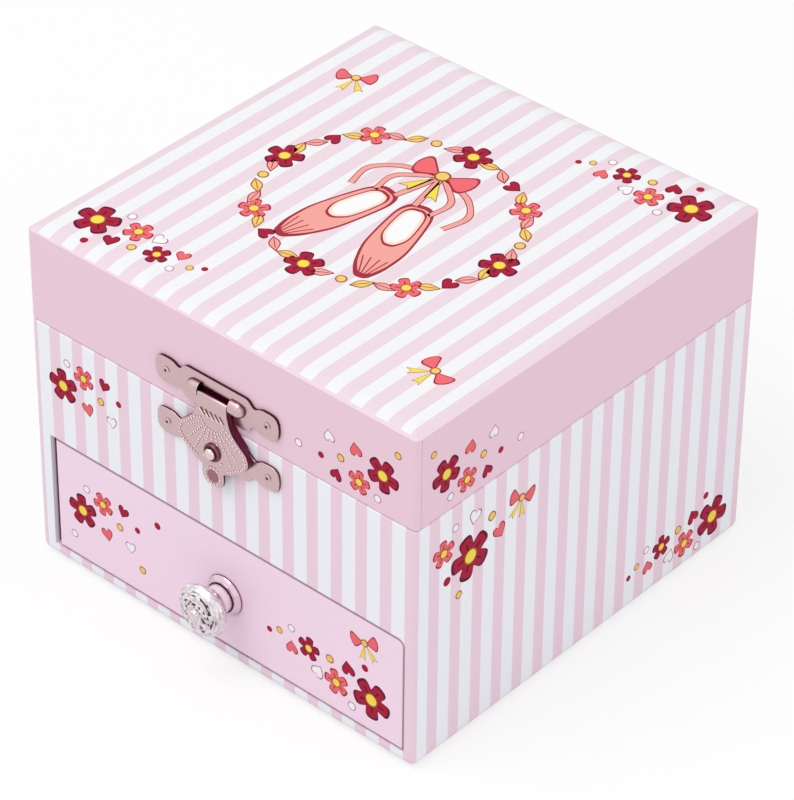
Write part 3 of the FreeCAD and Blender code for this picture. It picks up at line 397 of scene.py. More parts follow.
def ribbon(path: Sequence[tuple[float, float]], width: float, cut: float) -> Outline:
    """Draws the outline of a band along a path.

    Args:
        path: the points that it follows.
        width: the band's width.
        cut: how far from each bend its rounding starts.

    Returns:
        The band's corners.
    """
    spots = [Vector(spot) for spot in path]
    left, right = [], []
    for i, spot in enumerate(spots):
        way = (spots[min(i + 1, len(spots) - 1)] - spots[max(i - 1, 0)]).normalized()
        off = Vector((-way.y, way.x)) * width / 2
        bend = cut if 0 < i < len(spots) - 1 else 0.0
        left.append((*(spot + off), bend))
        right.append((*(spot - off), bend))
    return (*right, *reversed(left))


def cut_out(name: str, corners: Sequence[Corner], low: float, high: float) -> Piece:
    """Cuts a flat plate to an outline.

    Args:
        name: the plate's name.
        corners: the outline's corners, as rounded takes them.
        low: the height of its underside.
        high: the height of its face.

    Returns:
        The plate.
    """
    points = rounded(corners)
    piece = begin(name, bpy.ops.mesh.primitive_circle_add, vertices=len(points), fill_type="NGON")
    for vertex, point in zip(piece.data.vertices, points):
        vertex.co = (*point, low)
    with editing(piece):
        bpy.ops.mesh.extrude_region_move(TRANSFORM_OT_translate={"value": (0, 0, high - low)})
        bpy.ops.mesh.select_all(action="SELECT")
        bpy.ops.mesh.normals_make_consistent(inside=False)
    return piece


def lofted(name: str, rings: Sequence[Ring], sides: int, twist: float = 0.0) -> Piece:
    """Raises a closed solid through level rings.

    Args:
        name: the piece's name.
        rings: the x, y and z of each ring's middle and its two radii, from the bottom up.
        sides: the sides of a ring.
        twist: how far each ring is turned from the one below, in degrees, to and fro.

    Returns:
        The solid.
    """
    x, y, z, wide, deep = rings[0]
    piece = begin(name, bpy.ops.mesh.primitive_circle_add, vertices=sides, radius=wide, fill_type="NGON",
                  location=(x, y, z))
    turn = math.radians(twist)
    with editing(piece):
        bpy.ops.transform.resize(value=(1, deep / wide, 1), center_override=(x, y, z))
        for before, after in zip(rings, rings[1:]):
            way = [new - old for old, new in zip(before[:3], after[:3])]
            bpy.ops.mesh.extrude_region_move(TRANSFORM_OT_translate={"value": way})
            scale = (after[3] / before[3], after[4] / before[4], 1)
            bpy.ops.transform.resize(value=scale, center_override=after[:3])
            if turn:
                bpy.ops.transform.rotate(value=turn, orient_axis="Z", center_override=after[:3])
                turn = -turn
        bpy.ops.mesh.select_all(action="SELECT")
        bpy.ops.mesh.normals_make_consistent(inside=False)
    return piece


def turned(name: str, profile: Profile, sides: int, twist: float = 0.0) -> Piece:
    """Turns a solid about z from a profile of radii and heights, as lofted does."""
    return lofted(name, [(0, 0, height, radius, radius) for radius, height in profile], sides, twist)


def egg(name: str, grid: tuple[int, int], radii: Corner, middle: Corner) -> Piece:
    """Rounds a ball with three radii.

    Args:
        name: the piece's name.
        grid: how many segments and rings it has.
        radii: its radii along x, y and z.
        middle: its middle.

    Returns:
        The ball.
    """
    piece = begin(name, bpy.ops.mesh.primitive_uv_sphere_add, segments=grid[0], ring_count=grid[1], radius=1,
                  location=middle)
    with editing(piece):
        bpy.ops.transform.resize(value=radii, center_override=middle)
    return piece


@dataclass(frozen=True)
class Finish:
    """A finish with a fine grain, which gives the surface a slight mottle and relief.

    The grain is a noise of grain_mm across and depth_mm deep. The mottle is how far it shifts the
    colour, and the spread how far it shifts the roughness. The gloss sets the shader's other inputs.
    """

    name: str
    colour: str
    roughness: float = 0.5
    metallic: float = 0.0
    grain_mm: float = 0.5
    depth_mm: float = 0.004
    mottle: float = 0.03
    spread: float = 0.05
    stretch: tuple[float, float, float] = (1.0, 1.0, 1.0)
    detail: float = 3.0
    gloss: tuple[tuple[str, float], ...] = ()

    def material(self) -> bpy.types.Material:
        """Makes the finish's material, once.

        Returns:
            The material.
        """
        if self.name in bpy.data.materials:
            return bpy.data.materials[self.name]
        made = bpy.data.materials.new(self.name)
        tree = bare_tree(made)
        where = add_node(tree, "TexCoord").outputs["Object"]
        along = add_node(tree, "Mapping", {"Vector": where, "Scale": self.stretch})
        grain = add_node(tree, "TexNoise", {
            "Vector": along, "Scale": 1 / (self.grain_mm * MM), "Detail": self.detail})
        relief = add_node(tree, "Bump", {"Height": grain, "Distance": self.depth_mm * MM})
        uneven, light = (
            add_node(tree, "MapRange", {"Value": grain, "To Min": middle - swing, "To Max": middle + swing})
            for middle, swing in ((self.roughness, self.spread), (1, self.mottle)))
        shade = add_node(tree, "HueSaturation", {"Value": light, "Color": self.paint(tree, where)})
        shader = add_node(tree, "BsdfPrincipled", {
            "Base Color": shade, "Metallic": self.metallic, "Roughness": uneven, "Normal": relief,
            **dict(self.gloss)})
        add_node(tree, "OutputMaterial", {"Surface": shader})
        return made

    def paint(self, tree: Tree, where: Source) -> Source:
        """Returns the colour before the grain's mottle: a plain one here."""
        return linear(self.colour)


@dataclass(frozen=True)
class Stripes:
    """Printed stripes across one direction: a white stripe starts at start_mm and repeats."""

    period_mm: float
    start_mm: float
    white_mm: float

    def mask(self, tree: Tree, across: Source) -> Source:
        """Works out where the stripes are white.

        Args:
            tree: the material's node tree.
            across: the coordinate across the stripes, in metres.

        Returns:
            1 on white stripes and 0 between them.
        """
        past = add_node(tree, "Math", {0: across, 1: self.start_mm * MM}, operation="SUBTRACT")
        turns = add_node(tree, "Math", {0: past, 1: self.period_mm * MM}, operation="DIVIDE")
        share = add_node(tree, "Math", {0: turns}, operation="FRACT")
        return add_node(tree, "Math", {0: share, 1: self.white_mm / self.period_mm}, operation="LESS_THAN")


# Satin printed paper: stripes with clean edges on a faint fibre, with a little sheen.
@dataclass(frozen=True)
class CasePaper(Finish):
    """Paper of the case: upright stripes that follow each side."""

    white: str = "#F6F8FE"
    front: Stripes = Stripes(6.79, -46.48, 3.6)
    side: Stripes = Stripes(6.87, -47.63, 3.64)
    lap_mm: float = 1.1

    def paint(self, tree: Tree, where: Source) -> Source:
        """Runs stripes by x on the front and back and round their corners, and by y on the two sides.

        Args:
            tree: the material's node tree.
            where: the object coordinates.

        Returns:
            The colour.
        """
        axes = add_node(tree, "SeparateXYZ", {0: where}).outputs
        away = [add_node(tree, "Math", {0: axes[i]}, operation="ABSOLUTE") for i in range(2)]
        lapped = add_node(tree, "Math", {0: away[1], 1: self.lap_mm * MM}, operation="ADD")
        on_front = add_node(tree, "Math", {0: lapped, 1: away[0]}, operation="GREATER_THAN")
        masks = [run.mask(tree, axes[i]) for i, run in enumerate((self.front, self.side))]
        mask = add_node(tree, "Mix", {0: on_front, 2: masks[1], 3: masks[0]})
        return add_node(tree, "Mix", {
            0: mask, 6: linear(self.colour), 7: linear(self.white)}, data_type="RGBA")


@dataclass(frozen=True)
class LidPaper(Finish):
    """Paper of the lid: plain sides up to the fold, and stripes on the crowned top above it."""

    top_pink: str = "#ECD7E1"
    white: str = "#F1F2F4"
    top: Stripes = Stripes(6.778, -51.92, 3.3)
    crown_mm: float = 1.2
    # How far short of the front edge the stripes end, at its middle and more per millimetre to the right.
    front_mm: tuple[float, float] = (0.62, 0.004)
    border_mm: float = 2.6
    back_mm: float = 0.5
    edge_mm: float = 0.02
    lap_mm: float = 1.5
    lap_line_mm: float = 0.12
    lap_shade: str = "#C39AAE"

    def paint(self, tree: Tree, where: Source) -> Source:
        """Runs stripes by x on the top, and draws the cut edge of the paper's lap on the right side.

        Args:
            tree: the material's node tree.
            where: the object coordinates.

        Returns:
            The colour.
        """
        low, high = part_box("lid_wrap")
        x, y, z = add_node(tree, "SeparateXYZ", {0: where}).outputs
        fold = high[2] - (self.crown_mm - self.edge_mm) * MM
        above = add_node(tree, "Math", {0: z, 1: fold}, operation="GREATER_THAN")
        off_lap = add_node(tree, "Math", {0: y, 1: low[1] + self.lap_mm * MM}, operation="SUBTRACT")
        on_line = add_node(tree, "Math", {
            0: off_lap, 1: 0.0, 2: self.lap_line_mm * MM / 2}, operation="COMPARE")
        at_right = add_node(tree, "Math", {0: x, 1: high[0] - self.edge_mm * MM}, operation="GREATER_THAN")
        lap = add_node(tree, "Math", {0: on_line, 1: at_right}, operation="MULTIPLY")
        sides = add_node(tree, "Mix", {
            0: lap, 6: linear(self.colour), 7: linear(self.lap_shade)}, data_type="RGBA")
        ground = add_node(tree, "Mix", {0: above, 6: sides, 7: linear(self.top_pink)}, data_type="RGBA")
        printed = above
        for limit in (self.top.mask(tree, x), *self.limits(tree, x, y, low, high)):
            printed = add_node(tree, "Math", {0: printed, 1: limit}, operation="MULTIPLY")
        return add_node(tree, "Mix", {0: printed, 6: ground, 7: linear(self.white)}, data_type="RGBA")

    def limits(self, tree: Tree, x: Source, y: Source, low: Corner, high: Corner) -> tuple[Source, ...]:
        """Works out where the top's stripes are printed.

        Args:
            tree: the material's node tree.
            x: the coordinate across the stripes.
            y: the coordinate along them.
            low: the low corner of the lid.
            high: its high corner.

        Returns:
            1 behind the front limit, between the sides' limits and before the back one, each by itself.
        """
        start, slope = self.front_mm
        square = add_node(tree, "Math", {0: x, 1: -slope, 2: y}, operation="MULTIPLY_ADD")
        behind = add_node(tree, "Math", {0: square, 1: low[1] + start * MM}, operation="GREATER_THAN")
        across = add_node(tree, "Math", {0: x}, operation="ABSOLUTE")
        beside = add_node(tree, "Math", {0: across, 1: high[0] - self.border_mm * MM}, operation="LESS_THAN")
        before = add_node(tree, "Math", {0: y, 1: high[1] - self.back_mm * MM}, operation="LESS_THAN")
        return behind, beside, before


@dataclass(frozen=True)
class MouthPaper(Finish):
    """Paper at the drawer's mouth: an edge colour at the face, painted light where it is pale, then a band of
    painted shade where the gap round the drawer front is, plain further in.
    """

    # The edge colour, painted light where it is paler than the paper, and the colour of the painted shade in
    # the gap.
    edge: str = "#FFFFFF"
    painted_shade: str = "#7A1F4A"
    # Distances behind the face of the case: the pale edge's end, and the painted shade band's start and end.
    pale_mm: float = 0.9
    shade_band_mm: float = 1.5
    inside_mm: tuple[float, float] = (4.0, 7.0)

    def paint(self, tree: Tree, where: Source) -> Source:
        """Goes from the edge colour to the band of painted shade to the plain colour with the distance behind
        the face.

        Args:
            tree: the material's node tree.
            where: the object coordinates.

        Returns:
            The colour.
        """
        front = Side.FRONT.middle("case_wrap").y
        depth = add_node(tree, "SeparateXYZ", {0: where}).outputs[1]
        colour = linear(self.edge)
        bands = (((self.pale_mm, self.shade_band_mm), self.painted_shade), (self.inside_mm, self.colour))
        for (near, far), tint in bands:
            step = add_node(tree, "MapRange", {
                "Value": depth, "From Min": front + near * MM, "From Max": front + far * MM},
                interpolation_type="SMOOTHSTEP")
            colour = add_node(tree, "Mix", {0: step, 6: colour, 7: linear(tint)}, data_type="RGBA")
        return colour


@dataclass(frozen=True)
class PressedNickel(Finish):
    """Nickel on pressed sheet: a soft face, and a painted dark reflection where the sheet turns away from it.
    """

    # The painted dark reflection's colour, and the facing below which it is full and above which the face's
    # own colour is.
    painted_dark_rim: str = "#5E2A3C"
    turned_away: float = 0.2
    facing: float = 0.8

    def paint(self, tree: Tree, where: Source) -> Source:
        """Paints the faces that turn away from the front and back darker, as a painted dark reflection.

        Args:
            tree: the material's node tree.
            where: the object coordinates, which it leaves alone.

        Returns:
            The colour.
        """
        axes = add_node(tree, "SeparateXYZ", {0: add_node(tree, "TexCoord").outputs["Normal"]}).outputs
        out = add_node(tree, "Math", {0: axes[1]}, operation="ABSOLUTE")
        face = add_node(tree, "MapRange", {
            "Value": out, "From Min": self.turned_away, "From Max": self.facing},
            interpolation_type="SMOOTHSTEP")
        return add_node(tree, "Mix", {0: face, 6: linear(self.painted_dark_rim), 7: linear(self.colour)}, data_type="RGBA")


@dataclass(frozen=True)
class FoiledCrystal(Finish):
    """Cast acrylic silvered at the back: rings of cut cells painted light and dark as painted reflections,
    round a clear middle.
    """

    gloss: tuple[tuple[str, float], ...] = (("Coat Weight", 1.0), ("Coat Roughness", 0.02))
    # The colours of the painted reflections: the dark cells, and the grey that the light cells vary towards.
    dark: str = "#3E2C36"
    grey: str = "#CFC0C8"
    cells_round: int = 30
    cell_mm: float = 0.5
    dark_reflection_share: float = 0.24
    # Radii between which the dark cells of painted reflection come in, and between which they end.
    clear_mm: tuple[float, float] = (1.9, 2.3)
    rim_mm: tuple[float, float] = (5.2, 5.7)

    def paint(self, tree: Tree, where: Source) -> Source:
        """Paints each cut cell its own grey as a painted reflection, and some dark as painted dark
        reflections outside the clear middle of the face.

        Args:
            tree: the material's node tree.
            where: the object coordinates.

        Returns:
            The colour.
        """
        on_axis = add_node(tree, "Mapping", {"Vector": where, "Location": -Side.FRONT.middle("knob_crystal")})
        x, y, z = add_node(tree, "SeparateXYZ", {0: on_axis}).outputs
        around = add_node(tree, "Math", {0: z, 1: x}, operation="ARCTAN2")
        flat = add_node(tree, "VectorMath", {0: on_axis, 1: (1, 0, 1)}, operation="MULTIPLY")
        out = add_node(tree, "VectorMath", {0: flat}, operation="LENGTH")
        back = add_node(tree, "Math", {0: out, 1: y}, operation="ADD")
        cut = add_node(tree, "Mapping", {
            "Vector": add_node(tree, "CombineXYZ", {0: around, 1: back}),
            "Scale": (self.cells_round / (2 * math.pi), 1 / (self.cell_mm * MM), 1)})
        cells = add_node(tree, "TexVoronoi", {"Vector": cut, "Scale": 1.0}, voronoi_dimensions="2D")
        draws = add_node(tree, "SeparateXYZ", {0: cells.outputs["Color"]}).outputs
        light = add_node(tree, "Mix", {
            0: draws[1], 6: linear(self.grey), 7: linear(self.colour)}, data_type="RGBA")
        dark = add_node(tree, "Math", {0: draws[0], 1: self.dark_reflection_share}, operation="LESS_THAN")
        for near, far in (self.clear_mm, self.rim_mm[::-1]):
            ring = add_node(tree, "MapRange", {"Value": out, "From Min": near * MM, "From Max": far * MM})
            dark = add_node(tree, "Math", {0: dark, 1: ring}, operation="MULTIPLY")
        return add_node(tree, "Mix", {0: dark, 6: light, 7: linear(self.dark)}, data_type="RGBA")


# Printed papers: satin, with a faint fibre and a soft sheen. The drawer's mouth and the drawer front's edges
# carry a band of painted shade where the gaps are, and the mouth's face edges are painted light.
CASE_PAPER = CasePaper("satin_printed_paper_striped", "#F3D6E5", 0.42)
LID_PAPER = LidPaper("satin_printed_paper_lid", "#F2CFDF", 0.42)
PINK_PAPER = Finish("satin_printed_paper_pink", "#FADFF1", 0.42)
FRONT_PAPER = MouthPaper("satin_printed_paper_pink_painted_shade", "#FADFF1", 0.42, edge="#FADFF1", painted_shade="#B493A6",
                         pale_mm=0.02, shade_band_mm=0.08, inside_mm=(0.45, 0.8))
MOUTH_PAPER = MouthPaper("satin_printed_paper_rose", "#EFB0CC", 0.5)
GAP_PAPER = MouthPaper("satin_printed_paper_blush", "#EFB0CC", 0.6, edge="#FFD3E6", painted_shade="#F0B4D0")
# Uncoated paper is matt and even, and pressed greyboard dull, with flecks of fibre.
BASE_PAPER = Finish("uncoated_paper_pale_pink", "#E9D6DE", 0.75)
BOARD = Finish("pressed_greyboard", "#9C978F", 0.85, grain_mm=0.9, depth_mm=0.02, mottle=0.12)
# Flock is a short rayon pile on card: matt, with a soft light rim where it is seen along the pile.
FLOCK = Finish("flocked_card_pink", "#D98AA6", 0.95, grain_mm=0.35, depth_mm=0.05, mottle=0.14, gloss=(
    ("Sheen Weight", 0.6), ("Sheen Roughness", 0.4), ("Specular IOR Level", 0.15)))
# Silvered glass mirrors sharply, with hardly a ripple.
MIRROR = Finish("silvered_mirror_glass", "#EDF0F1", 0.03, 1.0, grain_mm=30, depth_mm=0.0, mottle=0.01,
                spread=0.02)
# Nickel plate: a pinkish shine that is soft on pressed sheet, crisp on the ball, whose copy is painted
# lighter as a painted highlight, and dull on the leaf's back, whose copy is painted darker as painted shade.
NICKEL = Finish("polished_nickel_plate", "#C9AEB0", 0.2, 1.0, grain_mm=0.8, depth_mm=0.002, spread=0.06)
PRESSED = PressedNickel("pressed_nickel_plate", "#DDBFC1", 0.24, 1.0, grain_mm=0.8, depth_mm=0.002)
# The embossed copy is painted near white as a painted highlight on the beads and ribs, with a lighter painted
# dark reflection at their sides.
EMBOSSED = PressedNickel("embossed_nickel_painted_highlight", "#FFF4F0", 0.3, 1.0, grain_mm=0.4, depth_mm=0.001,
                         painted_dark_rim="#8A5A60")
# The hollow copy is painted darker: a painted dark reflection for the tongue's hollow, laid as a flat disc.
HOLLOW_REFLECTION = Finish("pressed_nickel_painted_dark_reflection", "#A87582", 0.2, 1.0, grain_mm=0.8, depth_mm=0.002)
# The brown copy is a painted dark reflection, on the stud's collar and the rim line of the knob's flange.
ROLLED = Finish("nickel_brown_painted_dark_reflection", "#84565E", 0.24, 1.0, grain_mm=0.8, depth_mm=0.002)
DULL_SHADE = Finish("nickel_dull_painted_shade", "#A58A8E", 0.55, 1.0, grain_mm=0.5, depth_mm=0.004)
POLISHED_HIGHLIGHT = Finish("polished_nickel_painted_highlight", "#F0DCDC", 0.09, 1.0, grain_mm=0.8, depth_mm=0.001)
# Painted shade in folds, grooves and dimples and behind the hinge window: dark and wine red, with half a
# shine.
SHADED = Finish("nickel_painted_shade_wine", "#6A1038", 0.35, 0.5, grain_mm=0.6, depth_mm=0.004, mottle=0.1)
PAINTED_SHADE_DARK = Finish("nickel_painted_shade_dark", "#3A0A22", 0.3, 0.6, grain_mm=0.6, depth_mm=0.004, mottle=0.1)
# Spun chrome is near a mirror, tinted pink as a painted reflection of the paper round it; ground steel and
# turned brass show fine tool lines, and cast zinc is grainy.
BRIGHT = Finish("spun_chrome_painted_pink_reflection", "#E8CCDB", 0.14, 1.0, grain_mm=1.2, depth_mm=0.001)
STEEL = Finish("ground_spring_steel", "#A9AAAD", 0.3, 1.0, grain_mm=0.4, depth_mm=0.003, stretch=(1, 8, 8))
BRASS = Finish("turned_brass", "#C9A45C", 0.28, 1.0, grain_mm=0.4, depth_mm=0.003, stretch=(8, 1, 8))
ZINC = Finish("die_cast_zinc", "#A3A6A9", 0.48, 1.0, grain_mm=0.7, depth_mm=0.01, mottle=0.06)
# Cast acrylic, cut and foiled, shows its glitter as painted reflections in light and dark cells, and is pale
# and clear at its neck.
CRYSTAL = FoiledCrystal("cast_acrylic_foiled", "#FFF8FA", 0.12, 0.75, grain_mm=0.7, depth_mm=0.06,
                        mottle=0.02)
CAST = Finish("cast_acrylic_pale", "#FBEEF3", 0.15, 0.35, grain_mm=1.0, depth_mm=0.03, mottle=0.06)
# Moulded plastics are even and a little shiny, and brushed enamels show faint strokes.
STAGE_PLASTIC = Finish("moulded_styrene_white", "#F0E9EC", 0.25, grain_mm=1.5, depth_mm=0.002, mottle=0.01)
SKIN_PLASTIC = Finish("moulded_vinyl_skin", "#EBC0A6", 0.42, grain_mm=0.4, depth_mm=0.002, mottle=0.02)
HAIR_PAINT = Finish("brushed_enamel_brown", "#5A3524", 0.4, grain_mm=0.25, depth_mm=0.01, stretch=(1, 1, 4))
SATIN_PAINT = Finish("brushed_enamel_rose", "#C8446E", 0.3, grain_mm=0.3, depth_mm=0.003)
SHOE_PAINT = Finish("brushed_enamel_pink", "#E9A0B4", 0.35, grain_mm=0.3, depth_mm=0.002)
EYE_PAINT = Finish("brushed_enamel_umber", "#3B2A26", 0.3, grain_mm=0.1, depth_mm=0.0)
# Nylon tulle is matt, and its mesh shows as a fine unevenness.
TULLE = Finish("nylon_tulle_pink", "#F3D3E0", 0.8, grain_mm=0.5, depth_mm=0.05, mottle=0.08)


# Offset-printed ink: flat, deep in colour and hardly shiny, with the paper's fibre in it.
@dataclass(frozen=True)
class Ink(Finish):
    """An ink printed on the paper."""

    roughness: float = 0.55
    grain_mm: float = 0.4
    depth_mm: float = 0.002
    mottle: float = 0.04
    gloss: tuple[tuple[str, float], ...] = (("Specular IOR Level", 0.12),)


CRIMSON = Ink("offset_ink_crimson", "#AE1238")
WINE = Ink("offset_ink_wine", "#5C0A30")
CORAL = Ink("offset_ink_coral", "#F26C73")
RUST = Ink("offset_ink_rust", "#A82C40")
AMBER = Ink("offset_ink_amber", "#F7CD68")
OCHRE = Ink("offset_ink_ochre", "#9C5A34")
YELLOW = Ink("offset_ink_yellow", "#FADF50")
SALMON = Ink("offset_ink_salmon", "#F4A79C")
PEACH = Ink("offset_ink_peach", "#FCDFD0")
CHALK = Ink("offset_ink_white", "#F9F8F8")
MAUVE = Ink("offset_ink_mauve", "#B06F90")


# A blossom of one millimetre in radius: its petals, half the angle of a petal's tip, the radius of the
# notches between petals, and how far from a tip's corner and from a notch the rounding starts.
PETALS = 5
TIP_SPREAD = 20.0
NOTCH = 0.5
TIP_CUT = 0.45
NOTCH_CUT = 0.03
# Radii where a petal's vein starts and ends, and its width.
VEIN = (0.3, 0.62)
VEIN_WIDTH = 0.07
# How much smaller than its border the fill of a paired shape is.
PAIR_FILL = 0.84


def petals() -> Outline:
    """Draws a blossom of round petals.

    Returns:
        The blossom's corners.
    """
    points = ((-TIP_SPREAD, 1.0, TIP_CUT), (TIP_SPREAD, 1.0, TIP_CUT), (180 / PETALS, NOTCH, NOTCH_CUT))
    corners = []
    for petal in range(PETALS):
        middle = 90 + petal * 360 / PETALS
        for angle, reach, cut in points:
            turn = math.radians(middle + angle)
            corners.append((reach * math.cos(turn), reach * math.sin(turn), cut))
    return tuple(corners)


def disc(radius: float, sides: int = 8) -> Outline:
    """Draws a round spot.

    Args:
        radius: its radius.
        sides: the sides that are rounded into it.

    Returns:
        The spot's corners.
    """
    side = 2 * radius * math.tan(math.pi / sides)
    reach = radius / math.cos(math.pi / sides)
    turns = [2 * math.pi * i / sides for i in range(sides)]
    return tuple((reach * math.cos(turn), reach * math.sin(turn), side / 2) for turn in turns)


HEART = mirrored((
    (0.02, -0.95, 0.0), (0.98, 0.08, 0.4), (0.9, 0.78, 0.4), (0.32, 0.92, 0.3), (0.02, 0.5, 0.0)))
LEAF = mirrored(((0.02, -1.0, 0.0), (0.62, -0.1, 0.7), (0.02, 1.0, 0.0)))
LEAF_RIB = ribbon(((0, -0.7), (0, 0.55)), 0.07, 0)
BOW_LOOP = ((0.1, 0.0, 0.05), (0.95, 0.75, 0.3), (1.15, 0.15, 0.3), (0.9, -0.5, 0.3))
BOW_TAIL = ((0.0, -0.05, 0.0), (0.75, -1.15, 0.05), (0.45, -1.05, 0.05), (0.3, -1.3, 0.05))
SHOE = mirrored((
    (1.1, -13.4, 0.9), (2.7, -10.4, 1.4), (4.0, -5.0, 2.4), (3.8, 2.0, 2.6), (3.3, 7.0, 1.6),
    (1.9, 9.4, 1.4)))
THROAT = mirrored(((0.9, -3.6, 0.8), (2.5, -1.2, 1.4), (2.6, 3.0, 2.0), (2.2, 6.8, 1.2), (1.1, 8.1, 0.7)))
INSOLE = mirrored(((0.7, -2.4, 0.7), (1.8, -0.4, 1.0), (1.8, 3.0, 1.4), (1.4, 6.2, 1.0), (0.7, 7.2, 0.5)))
# Places of the pleats across a shoe's toe. They draw together towards its tip.
PLEATS = (-2.2, -0.8, 0.8, 2.2)


@dataclass(frozen=True)
class Flat:
    """One flat of ink in a motif, on its own level above the paper."""

    finish: Finish
    corners: Outline
    level: int


def edged(fill: Finish, line: Finish, corners: Outline, level: int = 0,
          border: float = 0.12) -> tuple[Flat, ...]:
    """Draws a shape with a dark border, whose width is a share of the shape's size."""
    return Flat(line, corners, level), Flat(fill, moved(corners, 0, 0, 1 - border), level + 1)


def flower(fill: Finish, line: Finish) -> tuple[Flat, ...]:
    """Draws a blossom of one ink with veins and a yellow eye.

    Args:
        fill: the petals' ink.
        line: the ink of the border and veins.

    Returns:
        The blossom's flats.
    """
    turns = [math.radians(90 + petal * 360 / PETALS) for petal in range(PETALS)]
    paths = [[(reach * math.cos(turn), reach * math.sin(turn)) for reach in VEIN] for turn in turns]
    veins = (Flat(line, ribbon(path, VEIN_WIDTH, 0), 2) for path in paths)
    return (*edged(fill, line, petals()), *veins, *edged(YELLOW, OCHRE, disc(0.32), 3, 0.2))


def paired(fill: Finish, line: Finish, corners: Outline, level: int) -> tuple[Flat, ...]:
    """Draws a shape with a border, and its mirror image.

    Args:
        fill: the ink inside.
        line: the ink of the border.
        corners: the shape's outer corners.
        level: the border's level.

    Returns:
        The two borders and the fills on them.
    """
    middle = Vector((sum(c[0] for c in corners), sum(c[1] for c in corners))) / len(corners)
    inner = tuple((*(middle + (Vector(c[:2]) - middle) * PAIR_FILL), c[2]) for c in corners)
    flats = []
    for shape, tint, height in ((corners, line, level), (inner, fill, level + 1)):
        flats.append(Flat(tint, shape, height))
        flats.append(Flat(tint, tuple((-x, y, cut) for x, y, cut in reversed(shape)), height))
    return tuple(flats)


class Motif(Enum):
    """The motifs of the printed design, each drawn about one millimetre in radius unless it says so."""

    CRIMSON_BLOSSOM = flower(CRIMSON, WINE)
    CORAL_BLOSSOM = flower(CORAL, RUST)
    CORAL_HEART = edged(CORAL, RUST, HEART, border=0.16)
    CRIMSON_HEART = edged(CRIMSON, WINE, HEART, border=0.16)
    CHALK_HEART = edged(CHALK, MAUVE, HEART, border=0.16)
    AMBER_DOT = edged(AMBER, OCHRE, disc(1.0), border=0.24)
    CHALK_DOT = edged(CHALK, MAUVE, disc(1.0), border=0.2)
    CRIMSON_DOT = (Flat(CRIMSON, disc(1.0), 0),)
    SALMON_LEAF = (*edged(SALMON, RUST, LEAF, border=0.2), Flat(RUST, LEAF_RIB, 2))
    AMBER_LEAF = (*edged(AMBER, OCHRE, LEAF, border=0.2), Flat(OCHRE, LEAF_RIB, 2))
    BOW = (*paired(YELLOW, OCHRE, BOW_TAIL, 0), *paired(CORAL, RUST, BOW_LOOP, 2),
           *edged(AMBER, OCHRE, disc(0.26), 4, 0.25))
    # The shoe is drawn at its printed size.
    SHOE = (*edged(SALMON, RUST, SHOE, border=0.1), Flat(RUST, THROAT, 2),
            Flat(PEACH, moved(THROAT, 0, 0.2, 0.9), 3), Flat(CHALK, INSOLE, 4),
            *(Flat(RUST, ribbon(((x * 0.35, -12.0), (x * 0.7, -9.6), (x, -7.6)), 0.22, 1), 2)
              for x in PLEATS))


@dataclass(frozen=True)
class Stamp:
    """A motif's place on a face, in millimetres from the face's middle."""

    motif: Motif
    across: float
    up: float
    size: float
    turn: float = 0.0

    def matrix(self, flip: bool = False) -> Matrix:
        """Works out the way from the motif's drawing to the face's.

        Args:
            flip: whether the face is printed as a mirror image.

        Returns:
            The matrix.
        """
        turn = Matrix.Rotation(math.radians(self.turn), 4, "Z")
        size = Matrix.Diagonal((self.size, self.size, 1, 1))
        matrix = Matrix.Translation((self.across, self.up, 0)) @ turn @ size
        return Matrix.Diagonal((-1, 1, 1, 1)) @ matrix if flip else matrix


def spread(stamps: Sequence[Stamp], across: float, up: float, turn: float = 0.0) -> tuple[Stamp, ...]:
    """Lays a group of stamps at another place on the face.

    Args:
        stamps: the group.
        across: its new place.
        up: its new place.
        turn: how far the group is turned.

    Returns:
        The group where it is laid.
    """
    swing = Matrix.Rotation(math.radians(turn), 2)
    spots = [swing @ Vector((stamp.across, stamp.up)) for stamp in stamps]
    return tuple(Stamp(stamp.motif, across + spot.x, up + spot.y, stamp.size, stamp.turn + turn)
                 for stamp, spot in zip(stamps, spots))


TRAIL = (
    Stamp(Motif.CRIMSON_BLOSSOM, 0, 0, 5.6, 12), Stamp(Motif.CORAL_BLOSSOM, 9.6, 2.6, 3.7, -10),
    Stamp(Motif.CHALK_DOT, 4.6, 5.8, 1.1), Stamp(Motif.CRIMSON_HEART, 7.4, -3.6, 2.0, 24),
    Stamp(Motif.AMBER_DOT, 12.4, -2.4, 1.1), Stamp(Motif.CHALK_HEART, 14.8, 3.4, 1.9, -18),
    Stamp(Motif.CRIMSON_BLOSSOM, 18.2, -0.8, 3.3, 40), Stamp(Motif.CORAL_HEART, 22.6, 2.4, 1.8, 14),
    Stamp(Motif.CHALK_DOT, 23.6, -2.6, 1.0), Stamp(Motif.AMBER_DOT, 26.6, 0.4, 0.9),
    Stamp(Motif.CRIMSON_DOT, 29.2, 2.2, 0.75), Stamp(Motif.CRIMSON_DOT, 3.2, -7.2, 0.9),
)
POSY = (
    Stamp(Motif.CRIMSON_BLOSSOM, 0, 0, 6.4, 20), Stamp(Motif.CORAL_BLOSSOM, -8.4, 5.6, 3.6, 4),
    Stamp(Motif.AMBER_DOT, 6.6, 6.6, 1.2), Stamp(Motif.CHALK_HEART, 1.2, 9.6, 2.0, -20),
    Stamp(Motif.CORAL_HEART, 9.2, 1.2, 2.1, 22), Stamp(Motif.CRIMSON_DOT, -7.2, -2.4, 1.1),
    Stamp(Motif.CHALK_DOT, -4.8, 10.2, 1.0), Stamp(Motif.AMBER_DOT, -3.4, -8.2, 1.0),
)
